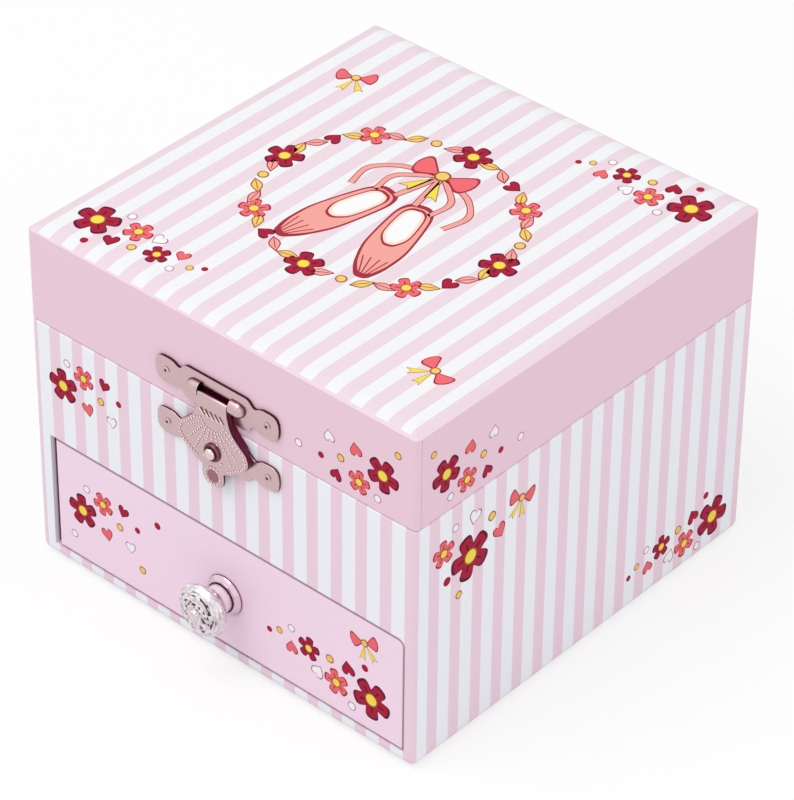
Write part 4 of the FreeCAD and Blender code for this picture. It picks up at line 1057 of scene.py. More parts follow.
SPRIG = (
    Stamp(Motif.CRIMSON_BLOSSOM, 0, 0, 4.6, 8), Stamp(Motif.CORAL_BLOSSOM, 6.4, 5.0, 3.2, 30),
    Stamp(Motif.CORAL_HEART, 7.4, -2.8, 1.8, 16), Stamp(Motif.CHALK_DOT, 1.4, 6.6, 1.0),
    Stamp(Motif.AMBER_DOT, 11.4, 1.4, 1.0), Stamp(Motif.CRIMSON_HEART, 12.6, 6.2, 1.7, -16),
    Stamp(Motif.CHALK_HEART, 14.6, -2.6, 1.6, 10), Stamp(Motif.CRIMSON_DOT, 16.8, 3.4, 0.8),
)


@dataclass(frozen=True)
class Wreath:
    """An oval wreath of leaves and blossoms round a pair of hanging dance shoes."""

    across: float = -2.0
    up: float = 0.6
    wide: float = 30.5
    tall: float = 27.0
    places: int = 40
    lean: float = 24
    # The motifs that follow each other round the wreath, and their sizes.
    cycle: tuple[tuple[Motif, float], ...] = (
        (Motif.CRIMSON_BLOSSOM, 4.8), (Motif.SALMON_LEAF, 2.8), (Motif.AMBER_DOT, 1.3),
        (Motif.AMBER_LEAF, 2.8), (Motif.SALMON_LEAF, 2.8), (Motif.CORAL_BLOSSOM, 3.9),
        (Motif.AMBER_LEAF, 2.8), (Motif.CRIMSON_HEART, 2.1), (Motif.SALMON_LEAF, 2.8),
        (Motif.AMBER_LEAF, 2.8))
    scale: float = 1.3
    shoe_out: float = 5.6
    shoe_down: float = 4.6
    shoe_turn: float = 15.0
    knot_up: float = 13.0
    knot_size: float = 5.6
    # The left ribbons' paths from the shoe or the knot, how wide each ink runs, and where a bend starts.
    paths: tuple[Profile, ...] = (
        ((-5.8, 2.8), (-6.8, 8.0), (-0.3, 13.0)), ((-2.2, 3.6), (-1.0, 8.4), (-0.2, 13.0)),
        ((-0.2, 13.0), (-7.5, 11.0), (-11.5, 7.0), (-10.0, 1.5)))
    inks: tuple[tuple[Finish, float], ...] = ((RUST, 1.7), (SALMON, 1.25))
    bend: float = 3.0

    def stamps(self) -> tuple[Stamp, ...]:
        """Sets the motifs round the oval, and the two shoes and their bow inside it.

        Returns:
            The wreath's stamps.
        """
        made = []
        for i in range(self.places):
            turn = 2 * math.pi * i / self.places
            motif, size = self.cycle[i % len(self.cycle)]
            lean = self.lean if i % 2 else -self.lean
            made.append(Stamp(motif, self.across + self.wide * math.cos(turn),
                              self.up + self.tall * math.sin(turn), size, math.degrees(turn) + lean))
        for side in (-1, 1):
            made.append(Stamp(Motif.SHOE, self.across + side * self.scale * self.shoe_out,
                              self.up - self.scale * self.shoe_down, self.scale, side * self.shoe_turn))
        knot = self.up + self.scale * self.knot_up
        made.append(Stamp(Motif.BOW, self.across, knot, self.scale * self.knot_size))
        return tuple(made)

    def bands(self) -> tuple[Flat, ...]:
        """Draws the ribbons from the shoes up to the bow, and its two long tails.

        Returns:
            The ribbons' flats.
        """
        flats = []
        for path in self.paths:
            for side in (1, -1):
                spots = [(self.across + side * self.scale * x, self.up + self.scale * y) for x, y in path]
                for level, (ink, width) in enumerate(self.inks):
                    flats.append(Flat(ink, ribbon(spots, width, self.bend), level))
        return tuple(flats)


@dataclass
class Press:
    """Prints flats of ink as thin closed plates, each level just above the last."""

    level_mm: float = 0.02
    drawn: dict = field(default_factory=dict)

    def pull(self, name: str, flats: Sequence[Flat]) -> Piece:
        """Builds a drawing's flats as one piece in millimetres.

        Args:
            name: the piece's name.
            flats: the flats.

        Returns:
            The piece.
        """
        plates = []
        for flat in flats:
            low = flat.level * self.level_mm
            plates.append(coat(cut_out(name, flat.corners, low, low + self.level_mm), flat.finish))
        return join(name, plates)

    def stamp(self, stamp: Stamp, stand: Matrix, flip: bool) -> Piece:
        """Prints a motif on a face.

        Args:
            stamp: the motif and its place.
            stand: the way from the face's drawing to the frame.
            flip: whether the face is printed as a mirror image.

        Returns:
            The print.
        """
        if stamp.motif not in self.drawn:
            self.drawn[stamp.motif] = self.pull(stamp.motif.name.lower(), stamp.motif.value)
        return copy_of(self.drawn[stamp.motif], stand @ stamp.matrix(flip))


@dataclass(frozen=True)
class Panel:
    """The printed design of one face."""

    name: str
    body: str
    node: str
    side: Side
    stamps: tuple[Stamp, ...]
    flats: tuple[Flat, ...] = ()
    flip: bool = False

    def build(self, press: Press) -> None:
        """Prints the face.

        Args:
            press: what prints its motifs.
        """
        stand = self.side.stand(self.side.middle(self.node))
        prints = [press.stamp(stamp, stand, self.flip) for stamp in self.stamps]
        if self.flats:
            bands = press.pull(self.name, self.flats)
            bands.data.transform(stand)
            prints.append(bands)
        place(join(self.name, prints), self.body, "pink_paper" if self.body == "drawer" else "striped_paper")


WREATH = Wreath()
TOP_STAMPS = (
    *WREATH.stamps(), *spread(TRAIL, 45, 43.8, 180), *spread(TRAIL, -45, -43.8),
    Stamp(Motif.BOW, -42, 34, 4.4, 24), Stamp(Motif.BOW, 43, -36, 4.4, -28),
)
LID_SIDE = (
    *spread(SPRIG, 46, -2.1, 180), Stamp(Motif.CHALK_DOT, 23, -5.6, 1.0),
    Stamp(Motif.AMBER_DOT, 50, 5.0, 0.9),
)
CASE_SIDE = (*spread(POSY, -38, 16), *spread(TRAIL, 45, -22.5, 176), Stamp(Motif.BOW, -22, 22, 3.8, -20))
CASE_BACK = (*spread(POSY, -42, -8), *spread(SPRIG, 46, -14, 150))
DRAWER = (
    *spread(TRAIL, 42, -6, 170), *spread(SPRIG, -43, -1), Stamp(Motif.BOW, 40, 8.4, 3.6, 16),
    Stamp(Motif.CHALK_DOT, -46, -9, 1.0), Stamp(Motif.AMBER_DOT, -25, -8, 1.0),
    Stamp(Motif.CRIMSON_DOT, -20, 7, 0.9),
)
PANELS = (
    Panel("print_lid_top", "lid", "lid_wrap", Side.TOP, TOP_STAMPS, WREATH.bands()),
    Panel("print_lid_front", "lid", "lid_wrap", Side.FRONT, LID_SIDE),
    Panel("print_lid_right", "lid", "lid_wrap", Side.RIGHT, LID_SIDE, flip=True),
    Panel("print_lid_left", "lid", "lid_wrap", Side.LEFT, LID_SIDE),
    Panel("print_case_front", "case", "case_wrap", Side.FRONT, spread(SPRIG, -46, 18)),
    Panel("print_case_right", "case", "case_wrap", Side.RIGHT, CASE_SIDE),
    Panel("print_case_left", "case", "case_wrap", Side.LEFT, CASE_SIDE, flip=True),
    Panel("print_case_back", "case", "case_wrap", Side.BACK, CASE_BACK),
    Panel("print_drawer", "drawer", "drawer_front", Side.FRONT, DRAWER),
)


@dataclass
class Carcass:
    """The case: papered boards, flocked well and drawer bay."""

    def build(self) -> None:
        """Dresses the case's papers, boards and linings."""
        dress(CASE_PAPER, "case_wrap")
        dress(BASE_PAPER, "base_paper")
        dress(MOUTH_PAPER, "case_left_board")
        dress(GAP_PAPER, "case_base_board", "case_right_board", "case_front_board")
        dress(BOARD, "case_back_board", "mid_shelf", "drawer_bay_partition")
        dress(FLOCK, "well_floor_lining", "well_wall_lining", "well_divider")


@dataclass
class Lid:
    """The lid: papered boards, lining and mirror."""

    def build(self) -> None:
        """Dresses the lid's papers, boards, lining and mirror."""
        dress(LID_PAPER, "lid_wrap")
        dress(BOARD, "lid_top_board")
        dress(PINK_PAPER, "lid_front_rail", "lid_back_rail", "lid_left_rail", "lid_right_rail")
        dress(FLOCK, "lid_lining")
        dress(MIRROR, "lid_mirror")


@dataclass
class Prints:
    """The printed design on every face."""

    def build(self) -> None:
        """Prints each face and removes the motifs that the prints were copied from."""
        press = Press()
        for panel in PANELS:
            panel.build(press)
        discard(*press.drawn.values())


@dataclass
class Drawer:
    """The drawer and its cut knob, in millimetres."""

    sides: int = 16
    # Radius and distance from the knob's back, from the seat to the small button on its face.
    cut: Profile = (
        (3.3, 0.0), (5.0, 0.9), (6.1, 2.1), (6.5, 2.7), (6.5, 3.3), (5.7, 4.4), (4.4, 5.2), (2.8, 5.7),
        (1.5, 5.75), (1.1, 6.2))
    round_sides: int = 64
    # Radius and distance from the drawer's face.
    flange: Profile = (
        (4.6, 0.0), (4.9, 0.12), (4.88, 0.4), (4.7, 0.62), (4.1, 1.25), (3.85, 1.4), (3.45, 1.45))
    # The crease and the rim are thin dark rings: painted shade at the flange's fold into the neck, and a
    # painted dark reflection on its outer edge.
    crease: Profile = ((3.4, 1.38), (3.72, 1.44), (3.72, 1.58), (3.4, 1.66))
    painted_dark_rim: Profile = ((4.84, 0.08), (4.96, 0.12), (4.96, 0.26), (4.84, 0.3))
    neck: Profile = ((3.3, 1.4), (3.4, 1.7), (3.35, 2.6), (3.5, 3.4), (3.9, 3.85), (3.9, 4.0))

    def build(self) -> None:
        """Dresses the drawer's paper, boards and lining, and builds the knob."""
        dress(FRONT_PAPER, "drawer_front")
        dress(PINK_PAPER, "drawer_left_side", "drawer_right_side", "drawer_back", "drawer_bottom")
        dress(FLOCK, "drawer_lining")
        dress(STEEL, "knob_screw")
        self.collar()
        self.knob()

    def collar(self) -> None:
        """Spins the collar behind the knob: a flared flange with a painted pink reflection, two dark lines of
        painted shade and a neck that widens to it.
        """
        rounds = (("knob_collar", self.flange, BRIGHT), ("crease", self.crease, PAINTED_SHADE_DARK),
                  ("painted_dark_rim", self.painted_dark_rim, ROLLED), ("neck", self.neck, CAST))
        collar = join("knob_collar", [
            coat(turned(name, profile, self.round_sides), finish) for name, profile, finish in rounds])
        smooth(collar, Fold.SPUN)
        collar.data.transform(Side.FRONT.stand(self.seat("knob_rosette")))
        place(collar, "drawer", "nickel", "knob_rosette")

    def seat(self, node: str) -> Vector:
        """Finds the middle of a node's back, where it sits on what carries it."""
        return Vector((*Side.FRONT.middle(node).xz, Side.BACK.middle(node).y)).xzy

    def knob(self) -> None:
        """Cuts the knob's facets: each ring is turned half a facet from the next, and split in triangles."""
        knob = turned("cut_knob", self.cut, self.sides, 180 / self.sides)
        with editing(knob, Domain.FACES, lambda face: len(face.vertices) == 4):
            bpy.ops.mesh.quads_convert_to_tris(quad_method="SHORTEST_DIAGONAL")
        knob.data.transform(Side.FRONT.stand(self.seat("knob_crystal")))
        place(coat(knob, CRYSTAL), "drawer", "crystal", "knob_crystal")


@dataclass
class Latch:
    """The hasp on the lid and its catch on the case, in millimetres from the middle of each plate."""

    sheet: float = 0.7
    leaf_sheet: float = 0.5
    back: float = 0.02
    edge: float = 0.22
    inlay: float = 0.02
    round_sides: int = 32
    lid_half: Outline = (
        (4.2, -3.5, 0.4), (5.2, -4.4, 0.7), (8.6, -4.4, 0.9), (10.3, -2.2, 0.8), (12.4, -3.2, 1.0),
        (17.5, -3.2, 2.9), (17.5, 3.2, 2.9), (12.6, 3.2, 1.0), (10.6, 2.1, 0.8), (8.8, 3.9, 0.8))
    case_half: Outline = (
        (4.2, -3.4, 0.4), (5.2, -4.3, 0.7), (8.6, -4.3, 0.9), (10.3, -2.2, 0.8), (12.4, -3.2, 1.0),
        (17.5, -3.2, 2.9), (17.5, 3.2, 2.9), (12.6, 3.2, 1.0), (10.6, 2.1, 0.8), (8.8, 3.7, 0.8))
    # Half width, bottom and top of the window over the hinge bar, and the thickness of the dark sheet of
    # painted shade behind it.
    window: tuple[float, float, float] = (4.35, -1.6, 1.35)
    painted_shade_pan: float = 0.06
    # Length, half width and height of a pocket, and how much flatter than round its top is.
    pocket: tuple[float, float, float] = (2.3, 2.0, 2.15)
    pocket_grid: tuple[int, int] = (32, 16)
    pocket_flat: float = 0.75
    pocket_neck: float = 1.6
    pocket_wall: float = 0.35
    leaf_half: Outline = (
        (1.3, -22.2, 1.1), (2.65, -21.4, 1.2), (3.2, -19.5, 1.2), (2.9, -17.9, 0.5), (4.4, -17.2, 0.8),
        (6.2, -16.2, 0.9), (8.8, -14.4, 1.2), (10.3, -12.0, 1.0), (9.6, -9.7, 0.9), (7.2, -7.8, 0.8),
        (5.6, -6.3, 1.0), (4.75, -4.6, 1.0), (4.15, -2.0, 0.5), (4.15, -0.2, 0.1))
    # How far the leaf's edge is turned back over the plates, and between the two levels between them.
    turn_back: float = 0.85
    turn_back_between: float = 1.55
    between: tuple[float, float] = (-8.6, -5.3)
    turn_step: float = 0.8
    turn_inner: float = 0.88
    turn_end: float = -16.5
    # Radius and length of the rolled barrel, and the share and length of its narrower ends.
    barrel: tuple[float, float] = (0.6, 8.3)
    barrel_end: tuple[float, float] = (0.9, 0.1)
    bead: float = 0.25
    bead_pitch: float = 0.94
    fan_top: float = -4.4
    # Angle from straight down and length of each beaded line of the fan.
    fan: Profile = ((0, 6.2), (13, 11.8), (27, 11.6), (40, 10.6), (54, 8.6), (68, 6.6))
    fan_start: float = 3.6
    border: Profile = (
        (5.0, -6.6), (6.6, -8.1), (8.6, -9.7), (9.4, -11.6), (9.2, -12.6), (8.2, -13.9), (6.0, -15.4),
        (3.8, -16.6))
    # Level and radius of the tongue's ring, and how far inside it the painted dark reflection of its hollow
    # ends.
    ring: tuple[float, float] = (-19.6, 2.1)
    hollow_inset: float = 0.5
    hollow_sides: int = 12
    # Level of the stud, and how far from it the beads stay clear.
    stud: tuple[float, float] = (-13.4, 2.7)
    # Radius and height above the leaf.
    collar: Profile = (
        (2.15, 0.0), (2.25, 0.12), (2.2, 0.36), (2.05, 0.54), (1.85, 0.6), (1.75, 0.45))
    groove: Profile = ((1.8, 0.2), (1.8, 0.46), (1.1, 0.48))
    ball: Profile = (
        (1.1, 0.3), (1.26, 0.45), (1.36, 0.8), (1.28, 1.12), (1.0, 1.36), (0.55, 1.5), (0.15, 1.54))
    ribs: int = 5
    rib_pitch: float = 1.35
    rib_level: float = -3.9
    # Reach, width and height of a slanted rib.
    rib: tuple[float, float, float] = (0.7, 0.42, 0.3)
    nail_sides: int = 20
    nail: Profile = ((0.35, -3.2), (0.35, 0.0), (0.85, 0.0), (0.85, 0.1), (0.7, 0.24), (0.36, 0.32))
    dimple_shade: float = 0.34

    def build(self) -> None:
        """Builds the plates, leaf, stud and nails."""
        across, face = Side.FRONT.middle("hasp_plate").x, Side.FRONT.middle("case_wrap").y
        bar, catch = (Side.FRONT.middle(node).z for node in ("hasp_plate_nails", "catch_nails"))
        lid_seat, case_seat = (Vector((across, face, level)) for level in (bar, catch))
        self.plate("latch_lid_plate", "lid", self.lid_half, "hasp_plate", lid_seat, True)
        self.plate("latch_case_plate", "case", self.case_half, "catch_plate", case_seat, False)
        leaf_face = Side.FRONT.middle("hasp_leaf").y
        self.leaf(Vector((across, leaf_face + self.leaf_sheet * MM, bar)))
        self.rivet(Vector((across, leaf_face, Side.FRONT.middle("hasp_stud").z)))
        self.nails("latch_lid_nails", "lid", "hasp_plate_nails")
        self.nails("latch_case_nails", "case", "catch_nails")

    def plate(self, name: str, body: str, half: Outline, node: str, origin: Vector, hinged: bool) -> None:
        """Builds one plate.

        Args:
            name: the piece's name.
            body: the body that it rides on.
            half: the right half of its outline.
            node: the node that it stands for.
            origin: its middle, on the box.
            hinged: whether it has the window and the two hinge pockets.
        """
        plate = cut_out(name, mirrored(half), 0, self.sheet)
        wide, low, high = self.window
        opening = ((-wide, low, 0), (wide, low, 0), (wide, high, 0), (-wide, high, 0))
        if hinged:
            cut_away(plate, cut_out("window", opening, -2 * self.sheet, 2 * self.sheet))
        soften(plate, self.edge)
        smooth(plate, Fold.PRESSED)
        parts = [coat(plate, PRESSED)]
        if hinged:
            # The pan is a thin dark sheet of painted shade behind the window.
            parts.extend((coat(cut_out("painted_shade_pan", opening, 0, self.painted_shade_pan), SHADED), *self.pockets()))
        whole = join(name, parts)
        whole.data.transform(Side.FRONT.stand(origin))
        place(whole, body, "nickel", node)

    def pockets(self) -> list[Piece]:
        """Raises the two hinge pockets: quarter shells that are open towards the window.

        Returns:
            The right and the left pocket.
        """
        proud = self.pocket[2]
        shell = egg("pocket", self.pocket_grid, self.pocket, (0, 0, 0))
        for away in ((-1, 0, 0), (0, 0, -1)):
            with editing(shell):
                bpy.ops.mesh.bisect(plane_co=(0, 0, 0), plane_no=away, clear_outer=True)
        with editing(shell, Domain.EDGES, lambda edge: all(
                abs(shell.data.vertices[i].co.x) < NEAR for i in edge.vertices)):
            bpy.ops.mesh.extrude_region_move(TRANSFORM_OT_translate={"value": (-self.pocket_neck, 0, 0)})
        for spot in shell.data.vertices:
            spot.co.z = proud * max(0.0, spot.co.z / proud) ** self.pocket_flat
        mend(shell)
        shape_with(shell, "SOLIDIFY", thickness=self.pocket_wall, offset=-1)
        smooth(shell, Fold.ROLLED)
        coat(shell, PRESSED)
        right = copy_of(shell, Matrix.Translation((self.window[0] + self.pocket_neck, 0, 0)))
        left = copy_of(right, Matrix.Diagonal((-1, 1, 1, 1)))
        discard(shell)
        return [right, left]

    def leaf(self, origin: Vector) -> None:
        """Builds the swinging leaf with its rolled barrel and its embossed lines.

        Args:
            origin: the middle of the hinge bar, on the leaf's back.
        """
        face = self.leaf_sheet
        leaf = cut_out("latch_leaf", mirrored(self.leaf_half), 0, face)
        soften(leaf, self.edge)
        smooth(leaf, Fold.PRESSED)
        radius, half = self.barrel[0], self.barrel[1] / 2
        share, taper = self.barrel_end
        bar = turned("bar", ((radius * share, -half), (radius, taper - half), (radius, half - taper),
                             (radius * share, half)), self.round_sides)
        bar.data.transform(Matrix.Translation((0, 0, face - radius)) @ Matrix.Rotation(math.pi / 2, 4, "Y"))
        smooth(bar, Fold.PRESSED)
        # The leaf's back is duller, and painted darker as painted shade under the leaf.
        back = cut_out("back", mirrored(self.leaf_half), -self.back, 0)
        level, reach = self.ring
        # A flat darker disc on the tongue is the painted dark reflection of its hollow.
        shade = moved(disc(reach - self.hollow_inset, self.hollow_sides), 0, level)
        hollow = cut_out("hollow", shade, face, face + self.inlay)
        whole = join("latch_leaf", [
            coat(leaf, PRESSED), coat(bar, PRESSED), coat(back, DULL_SHADE), coat(hollow, HOLLOW_REFLECTION),
            self.turned_edge(), *self.embossing()])
        whole.data.transform(Side.FRONT.stand(origin))
        place(whole, "hasp", "nickel", "hasp_leaf")

    def turned_edge(self) -> Piece:
        """Turns the leaf's edge back in a wall above its tongue, deeper between the two plates, coloured dark
        as painted shade.

        Returns:
            The wall.
        """
        outline = mirrored(self.leaf_half)
        middle = (outline[0][1] + self.leaf_half[-1][1]) / 2
        wall = cut_out("turned_edge", outline, -self.turn_back, self.painted_shade_pan)
        inside = moved(outline, 0, middle * (1 - self.turn_inner), self.turn_inner)
        cut_away(wall, cut_out("cutter", inside, -2 * self.turn_back, self.sheet))
        low, high = self.between
        for level in (low - self.turn_step, low, high, high + self.turn_step):
            with editing(wall):
                bpy.ops.mesh.bisect(plane_co=(0, level, 0), plane_no=(0, 1, 0))
        with editing(wall):
            bpy.ops.mesh.bisect(
                plane_co=(0, self.turn_end, 0), plane_no=(0, -1, 0), use_fill=True, clear_outer=True)
        for spot in wall.data.vertices:
            if spot.co.z < 0 and low - NEAR <= spot.co.y <= high + NEAR:
                spot.co.z = -self.turn_back_between
        return coat(wall, SHADED)

    def rivet(self, seat: Vector) -> None:
        """Sets the ball stud in the groove of its low collar: the ball painted lighter as a painted
        highlight, the collar brown as a painted dark reflection and the groove dark as painted shade.

        Args:
            seat: its middle on the leaf's face.
        """
        ball = turned("latch_stud", self.ball, self.round_sides)
        smooth(coat(ball, POLISHED_HIGHLIGHT), Fold.SOFT)
        collar = turned("collar", self.collar, self.round_sides)
        smooth(coat(collar, ROLLED), Fold.SOFT)
        groove = coat(turned("groove", self.groove, self.round_sides), PAINTED_SHADE_DARK)
        stud = join("latch_stud", [ball, collar, groove])
        stud.data.transform(Side.FRONT.stand(seat))
        place(stud, "hasp", "nickel", "hasp_stud")

    def embossing(self) -> list[Piece]:
        """Presses the beaded fan, border and ring, and the slanted ribs below the barrel, painted near white
        as a painted highlight.

        Returns:
            The beads and ribs.
        """
        bead = begin("bead", bpy.ops.mesh.primitive_ico_sphere_add, subdivisions=2, radius=self.bead)
        with editing(bead):
            bpy.ops.mesh.bisect(plane_co=(0, 0, 0), plane_no=(0, 0, -1), clear_outer=True, use_fill=True)
        smooth(coat(bead, EMBOSSED), Fold.SOFT)
        reach, wide, proud = self.rib
        rib = cut_out("rib", ribbon(((-reach, reach), (reach, -reach)), wide, 0), 0, proud)
        soften(rib, wide / 4, 2)
        coat(rib, EMBOSSED)
        face = self.leaf_sheet
        made = [copy_of(bead, Matrix.Translation((*spot, face))) for spot in self.bead_spots()]
        for i in range(self.ribs):
            across = (i - (self.ribs - 1) / 2) * self.rib_pitch
            made.append(copy_of(rib, Matrix.Translation((across, self.rib_level, face))))
        discard(bead, rib)
        return made

    def bead_spots(self) -> list[Vector]:
        """Works out where the beads are: along the fan's lines, the two borders and the tongue's ring.

        Returns:
            The beads' places on the leaf.
        """
        spots = []
        for side in (-1, 1):
            # Only one side draws the fan's middle line.
            for angle, length in self.fan[0 if side > 0 else 1:]:
                way = Vector((side * math.sin(math.radians(angle)), -math.cos(math.radians(angle))))
                runs = int((length - self.fan_start) / self.bead_pitch)
                spots.extend(Vector((0, self.fan_top)) + way * (self.fan_start + i * self.bead_pitch)
                             for i in range(runs + 1))
            for start, end in zip(self.border, self.border[1:]):
                first, last = (Vector((side * x, y)) for x, y in (start, end))
                runs = max(1, round((last - first).length / self.bead_pitch))
                spots.extend(first.lerp(last, i / runs) for i in range(runs))
        level, radius = self.ring
        count = round(2 * math.pi * radius / self.bead_pitch)
        for turn in (2 * math.pi * i / count for i in range(count)):
            spots.append(Vector((radius * math.cos(turn), level + radius * math.sin(turn))))
        middle, clear = Vector((0, self.stud[0])), self.stud[1]
        return [spot for spot in spots if (spot - middle).length > clear]

    def nails(self, name: str, body: str, node: str) -> None:
        """Drives a plate's two round-headed nails.

        Args:
            name: the piece's name.
            body: the body that it rides on.
            node: the node that it stands for.
        """
        low, high = box_of(node)
        head, level = (high.z - low.z) / 2, (low.z + high.z) / 2
        nail = turned(name, self.nail, self.nail_sides)
        smooth(coat(nail, PRESSED), Fold.TURNED)
        top = self.nail[-1][1]
        # A dark disc on each head is painted shade for the nail's dimple.
        dimple_shade = cut_out("dimple_shade", disc(self.dimple_shade), top, top + self.inlay)
        nail = join(name, [nail, coat(dimple_shade, PAINTED_SHADE_DARK)])
        front = Side.FRONT.middle("case_wrap").y - self.sheet * MM
        spots = [Vector((x, front, level)) for x in (low.x + head, high.x - head)]
        pair = [copy_of(nail, Side.FRONT.stand(spot)) for spot in spots]
        discard(nail)
        place(join(name, pair), body, "nickel", node)


@dataclass
class Hinges:
    """The two butt hinges on the back."""

    def build(self) -> None:
        """Dresses leaves, pins and nails."""
        dress(NICKEL, "hinge_case_leaf_left", "hinge_case_leaf_right", "hinge_lid_leaf_left",
              "hinge_lid_leaf_right", "hinge_case_nails", "hinge_lid_nails")
        dress(STEEL, "hinge_pins")


@dataclass
class Clockwork:
    """The movement under the shelf, and its key."""

    def build(self) -> None:
        """Dresses the movement's castings, wheels and springs."""
        dress(ZINC, "movement_bed")
        dress(STEEL, "movement_screws", "tone_comb", "winding_arbor", "mainspring", "cylinder_arbor",
              "dancer_spindle", "stop_rod")
        dress(BRASS, "spring_barrel", "music_cylinder", "great_wheel", "governor_fan", "spindle_bush")
        dress(NICKEL, "winding_key")


@dataclass
class Dancer:
    """The figure on its spring and turntable, in millimetres above the foot of the figure."""

    wire: float = 0.32
    wire_sides: int = 10
    coil: float = 1.62
    coil_steps: int = 28
    turns: int = 6
    smoothing: int = 2
    limb_sides: int = 10
    trunk_sides: int = 12
    # Rings of each part: x, y, z and two radii, from the bottom up. A left part mirrors the right one.
    leg: tuple[Ring, ...] = (
        (0.35, 0.1, 0.0, 0.42, 0.42), (0.42, 0.1, 1.2, 0.62, 0.8), (0.5, 0.0, 2.6, 0.62, 0.7),
        (0.55, 0.2, 5.0, 0.95, 1.0), (0.6, 0.0, 7.4, 0.78, 0.8), (0.75, 0.0, 10.0, 1.1, 1.2),
        (0.95, 0.0, 13.4, 1.4, 1.5))
    shoe: tuple[Ring, ...] = (
        (0.35, 0.1, -0.05, 0.5, 0.5), (0.42, 0.1, 1.2, 0.7, 0.9), (0.48, 0.05, 2.2, 0.72, 0.85),
        (0.5, 0.0, 3.0, 0.68, 0.76))
    trunk: tuple[Ring, ...] = (
        (0, 0, 12.4, 2.1, 1.8), (0, 0, 14.0, 2.25, 1.9), (0, 0, 16.7, 1.5, 1.25),
        (0, -0.15, 18.6, 1.85, 1.55), (0, -0.1, 20.4, 1.9, 1.3))
    neck: tuple[Ring, ...] = (
        (0, -0.1, 19.8, 1.95, 1.2), (0, -0.05, 21.1, 1.9, 1.0), (0, 0, 21.6, 0.85, 0.75),
        (0, 0, 23.2, 0.7, 0.7))
    arm: tuple[Ring, ...] = (
        (1.5, 0, 20.3, 0.7, 0.6), (2.6, 0, 21.6, 0.75, 0.55), (4.3, -0.2, 23.4, 0.62, 0.5),
        (4.9, -0.5, 25.6, 0.5, 0.5), (4.3, -0.7, 28.0, 0.48, 0.45), (3.2, -0.8, 29.9, 0.4, 0.38),
        (2.7, -0.8, 30.5, 0.36, 0.34), (2.2, -0.8, 31.0, 0.52, 0.34), (1.6, -0.8, 31.5, 0.5, 0.28),
        (1.0, -0.8, 31.8, 0.3, 0.2))
    head: tuple[float, float, float] = (1.75, 1.85, 2.15)
    head_up: float = 24.6
    head_grid: tuple[int, int] = (32, 20)
    # How much narrower and shallower than the crown the lower half of the head is.
    jaw: tuple[float, float] = (0.86, 0.92)
    # How much larger than the head the cap of hair is, and where and which way it is cut off at the brow.
    hair: float = 1.08
    brow: tuple[float, float] = (-0.5, 0.6)
    brow_way: tuple[float, float, float] = (0, -0.8, -0.6)
    # Radius, distance behind the head's middle and height above it.
    bun: tuple[float, float, float] = (0.95, 0.9, 2.2)
    # Radius, share of the head's depth and height above its middle.
    nose: tuple[float, float, float] = (0.2, 0.98, -0.4)
    # Place across and up the face, half width and half height, and paint: eyes, mouth and cheeks.
    features: tuple[tuple[float, float, float, float, Finish], ...] = (
        (-0.62, 0.15, 0.2, 0.26, EYE_PAINT), (0.62, 0.15, 0.2, 0.26, EYE_PAINT),
        (0.0, -0.95, 0.36, 0.12, SATIN_PAINT), (-0.95, -0.5, 0.3, 0.22, SHOE_PAINT),
        (0.95, -0.5, 0.3, 0.22, SHOE_PAINT))
    feature_grid: tuple[int, int] = (16, 8)
    paint: float = 0.1
    layers: int = 3
    layer_step: float = 0.5
    layer_drop: float = 0.55
    layer_turn: float = 1.9
    waist: float = 1.9
    ruffles: int = 17
    ruffle_points: int = 12
    ruffle: float = 0.5
    # Count and share of the wider waves under the ruffles.
    sway: tuple[int, float] = (5, 0.35)
    skirt_fall: float = 1.5
    # How steeply the fall and the ruffles grow towards the hem.
    fall_power: float = 1.6
    ruffle_power: float = 1.4
    net_rings: int = 8
    net_thick: float = 0.06
    net_ease: float = 1.05

    def build(self) -> None:
        """Builds the figure, spring and skirt, and dresses the turntable."""
        dress(STAGE_PLASTIC, "turntable")
        axis = Side.TOP.middle("turntable")
        foot = Vector((*axis.xy, box_of("dancer_figure")[0].z))
        self.figure(Matrix.Translation(foot) @ Matrix.Scale(MM, 4))
        self.spring(axis, foot.z - axis.z)
        self.skirt()

    def figure(self, stand: Matrix) -> None:
        """Models the figure.

        Args:
            stand: the way from its drawing to the frame.
        """
        mirror = Matrix.Diagonal((-1, 1, 1, 1))
        limbs = ((self.leg, SKIN_PLASTIC), (self.shoe, SHOE_PAINT), (self.arm, SKIN_PLASTIC))
        trunks = ((self.trunk, SATIN_PAINT), (self.neck, SKIN_PLASTIC))
        parts = []
        for rings, finish in limbs:
            right = self.limb(rings, self.limb_sides, finish)
            parts.extend((right, copy_of(right, mirror)))
        parts.extend(self.limb(rings, self.trunk_sides, finish) for rings, finish in trunks)
        parts.extend(self.face_and_hair())
        figure = join("ballerina", parts)
        smooth(figure, Fold.SOFT)
        figure.data.transform(stand)
        place(figure, "dancer", "figure_plastic", "dancer_figure")

    def limb(self, rings: tuple[Ring, ...], sides: int, finish: Finish) -> Piece:
        """Models a limb or the trunk.

        Args:
            rings: its rings, from the bottom up.
            sides: the sides of a ring, before it is smoothed.
            finish: its finish.

        Returns:
            The limb.
        """
        limb = coat(lofted("limb", rings, sides), finish)
        shape_with(limb, "SUBSURF", levels=self.smoothing, render_levels=self.smoothing)
        return limb

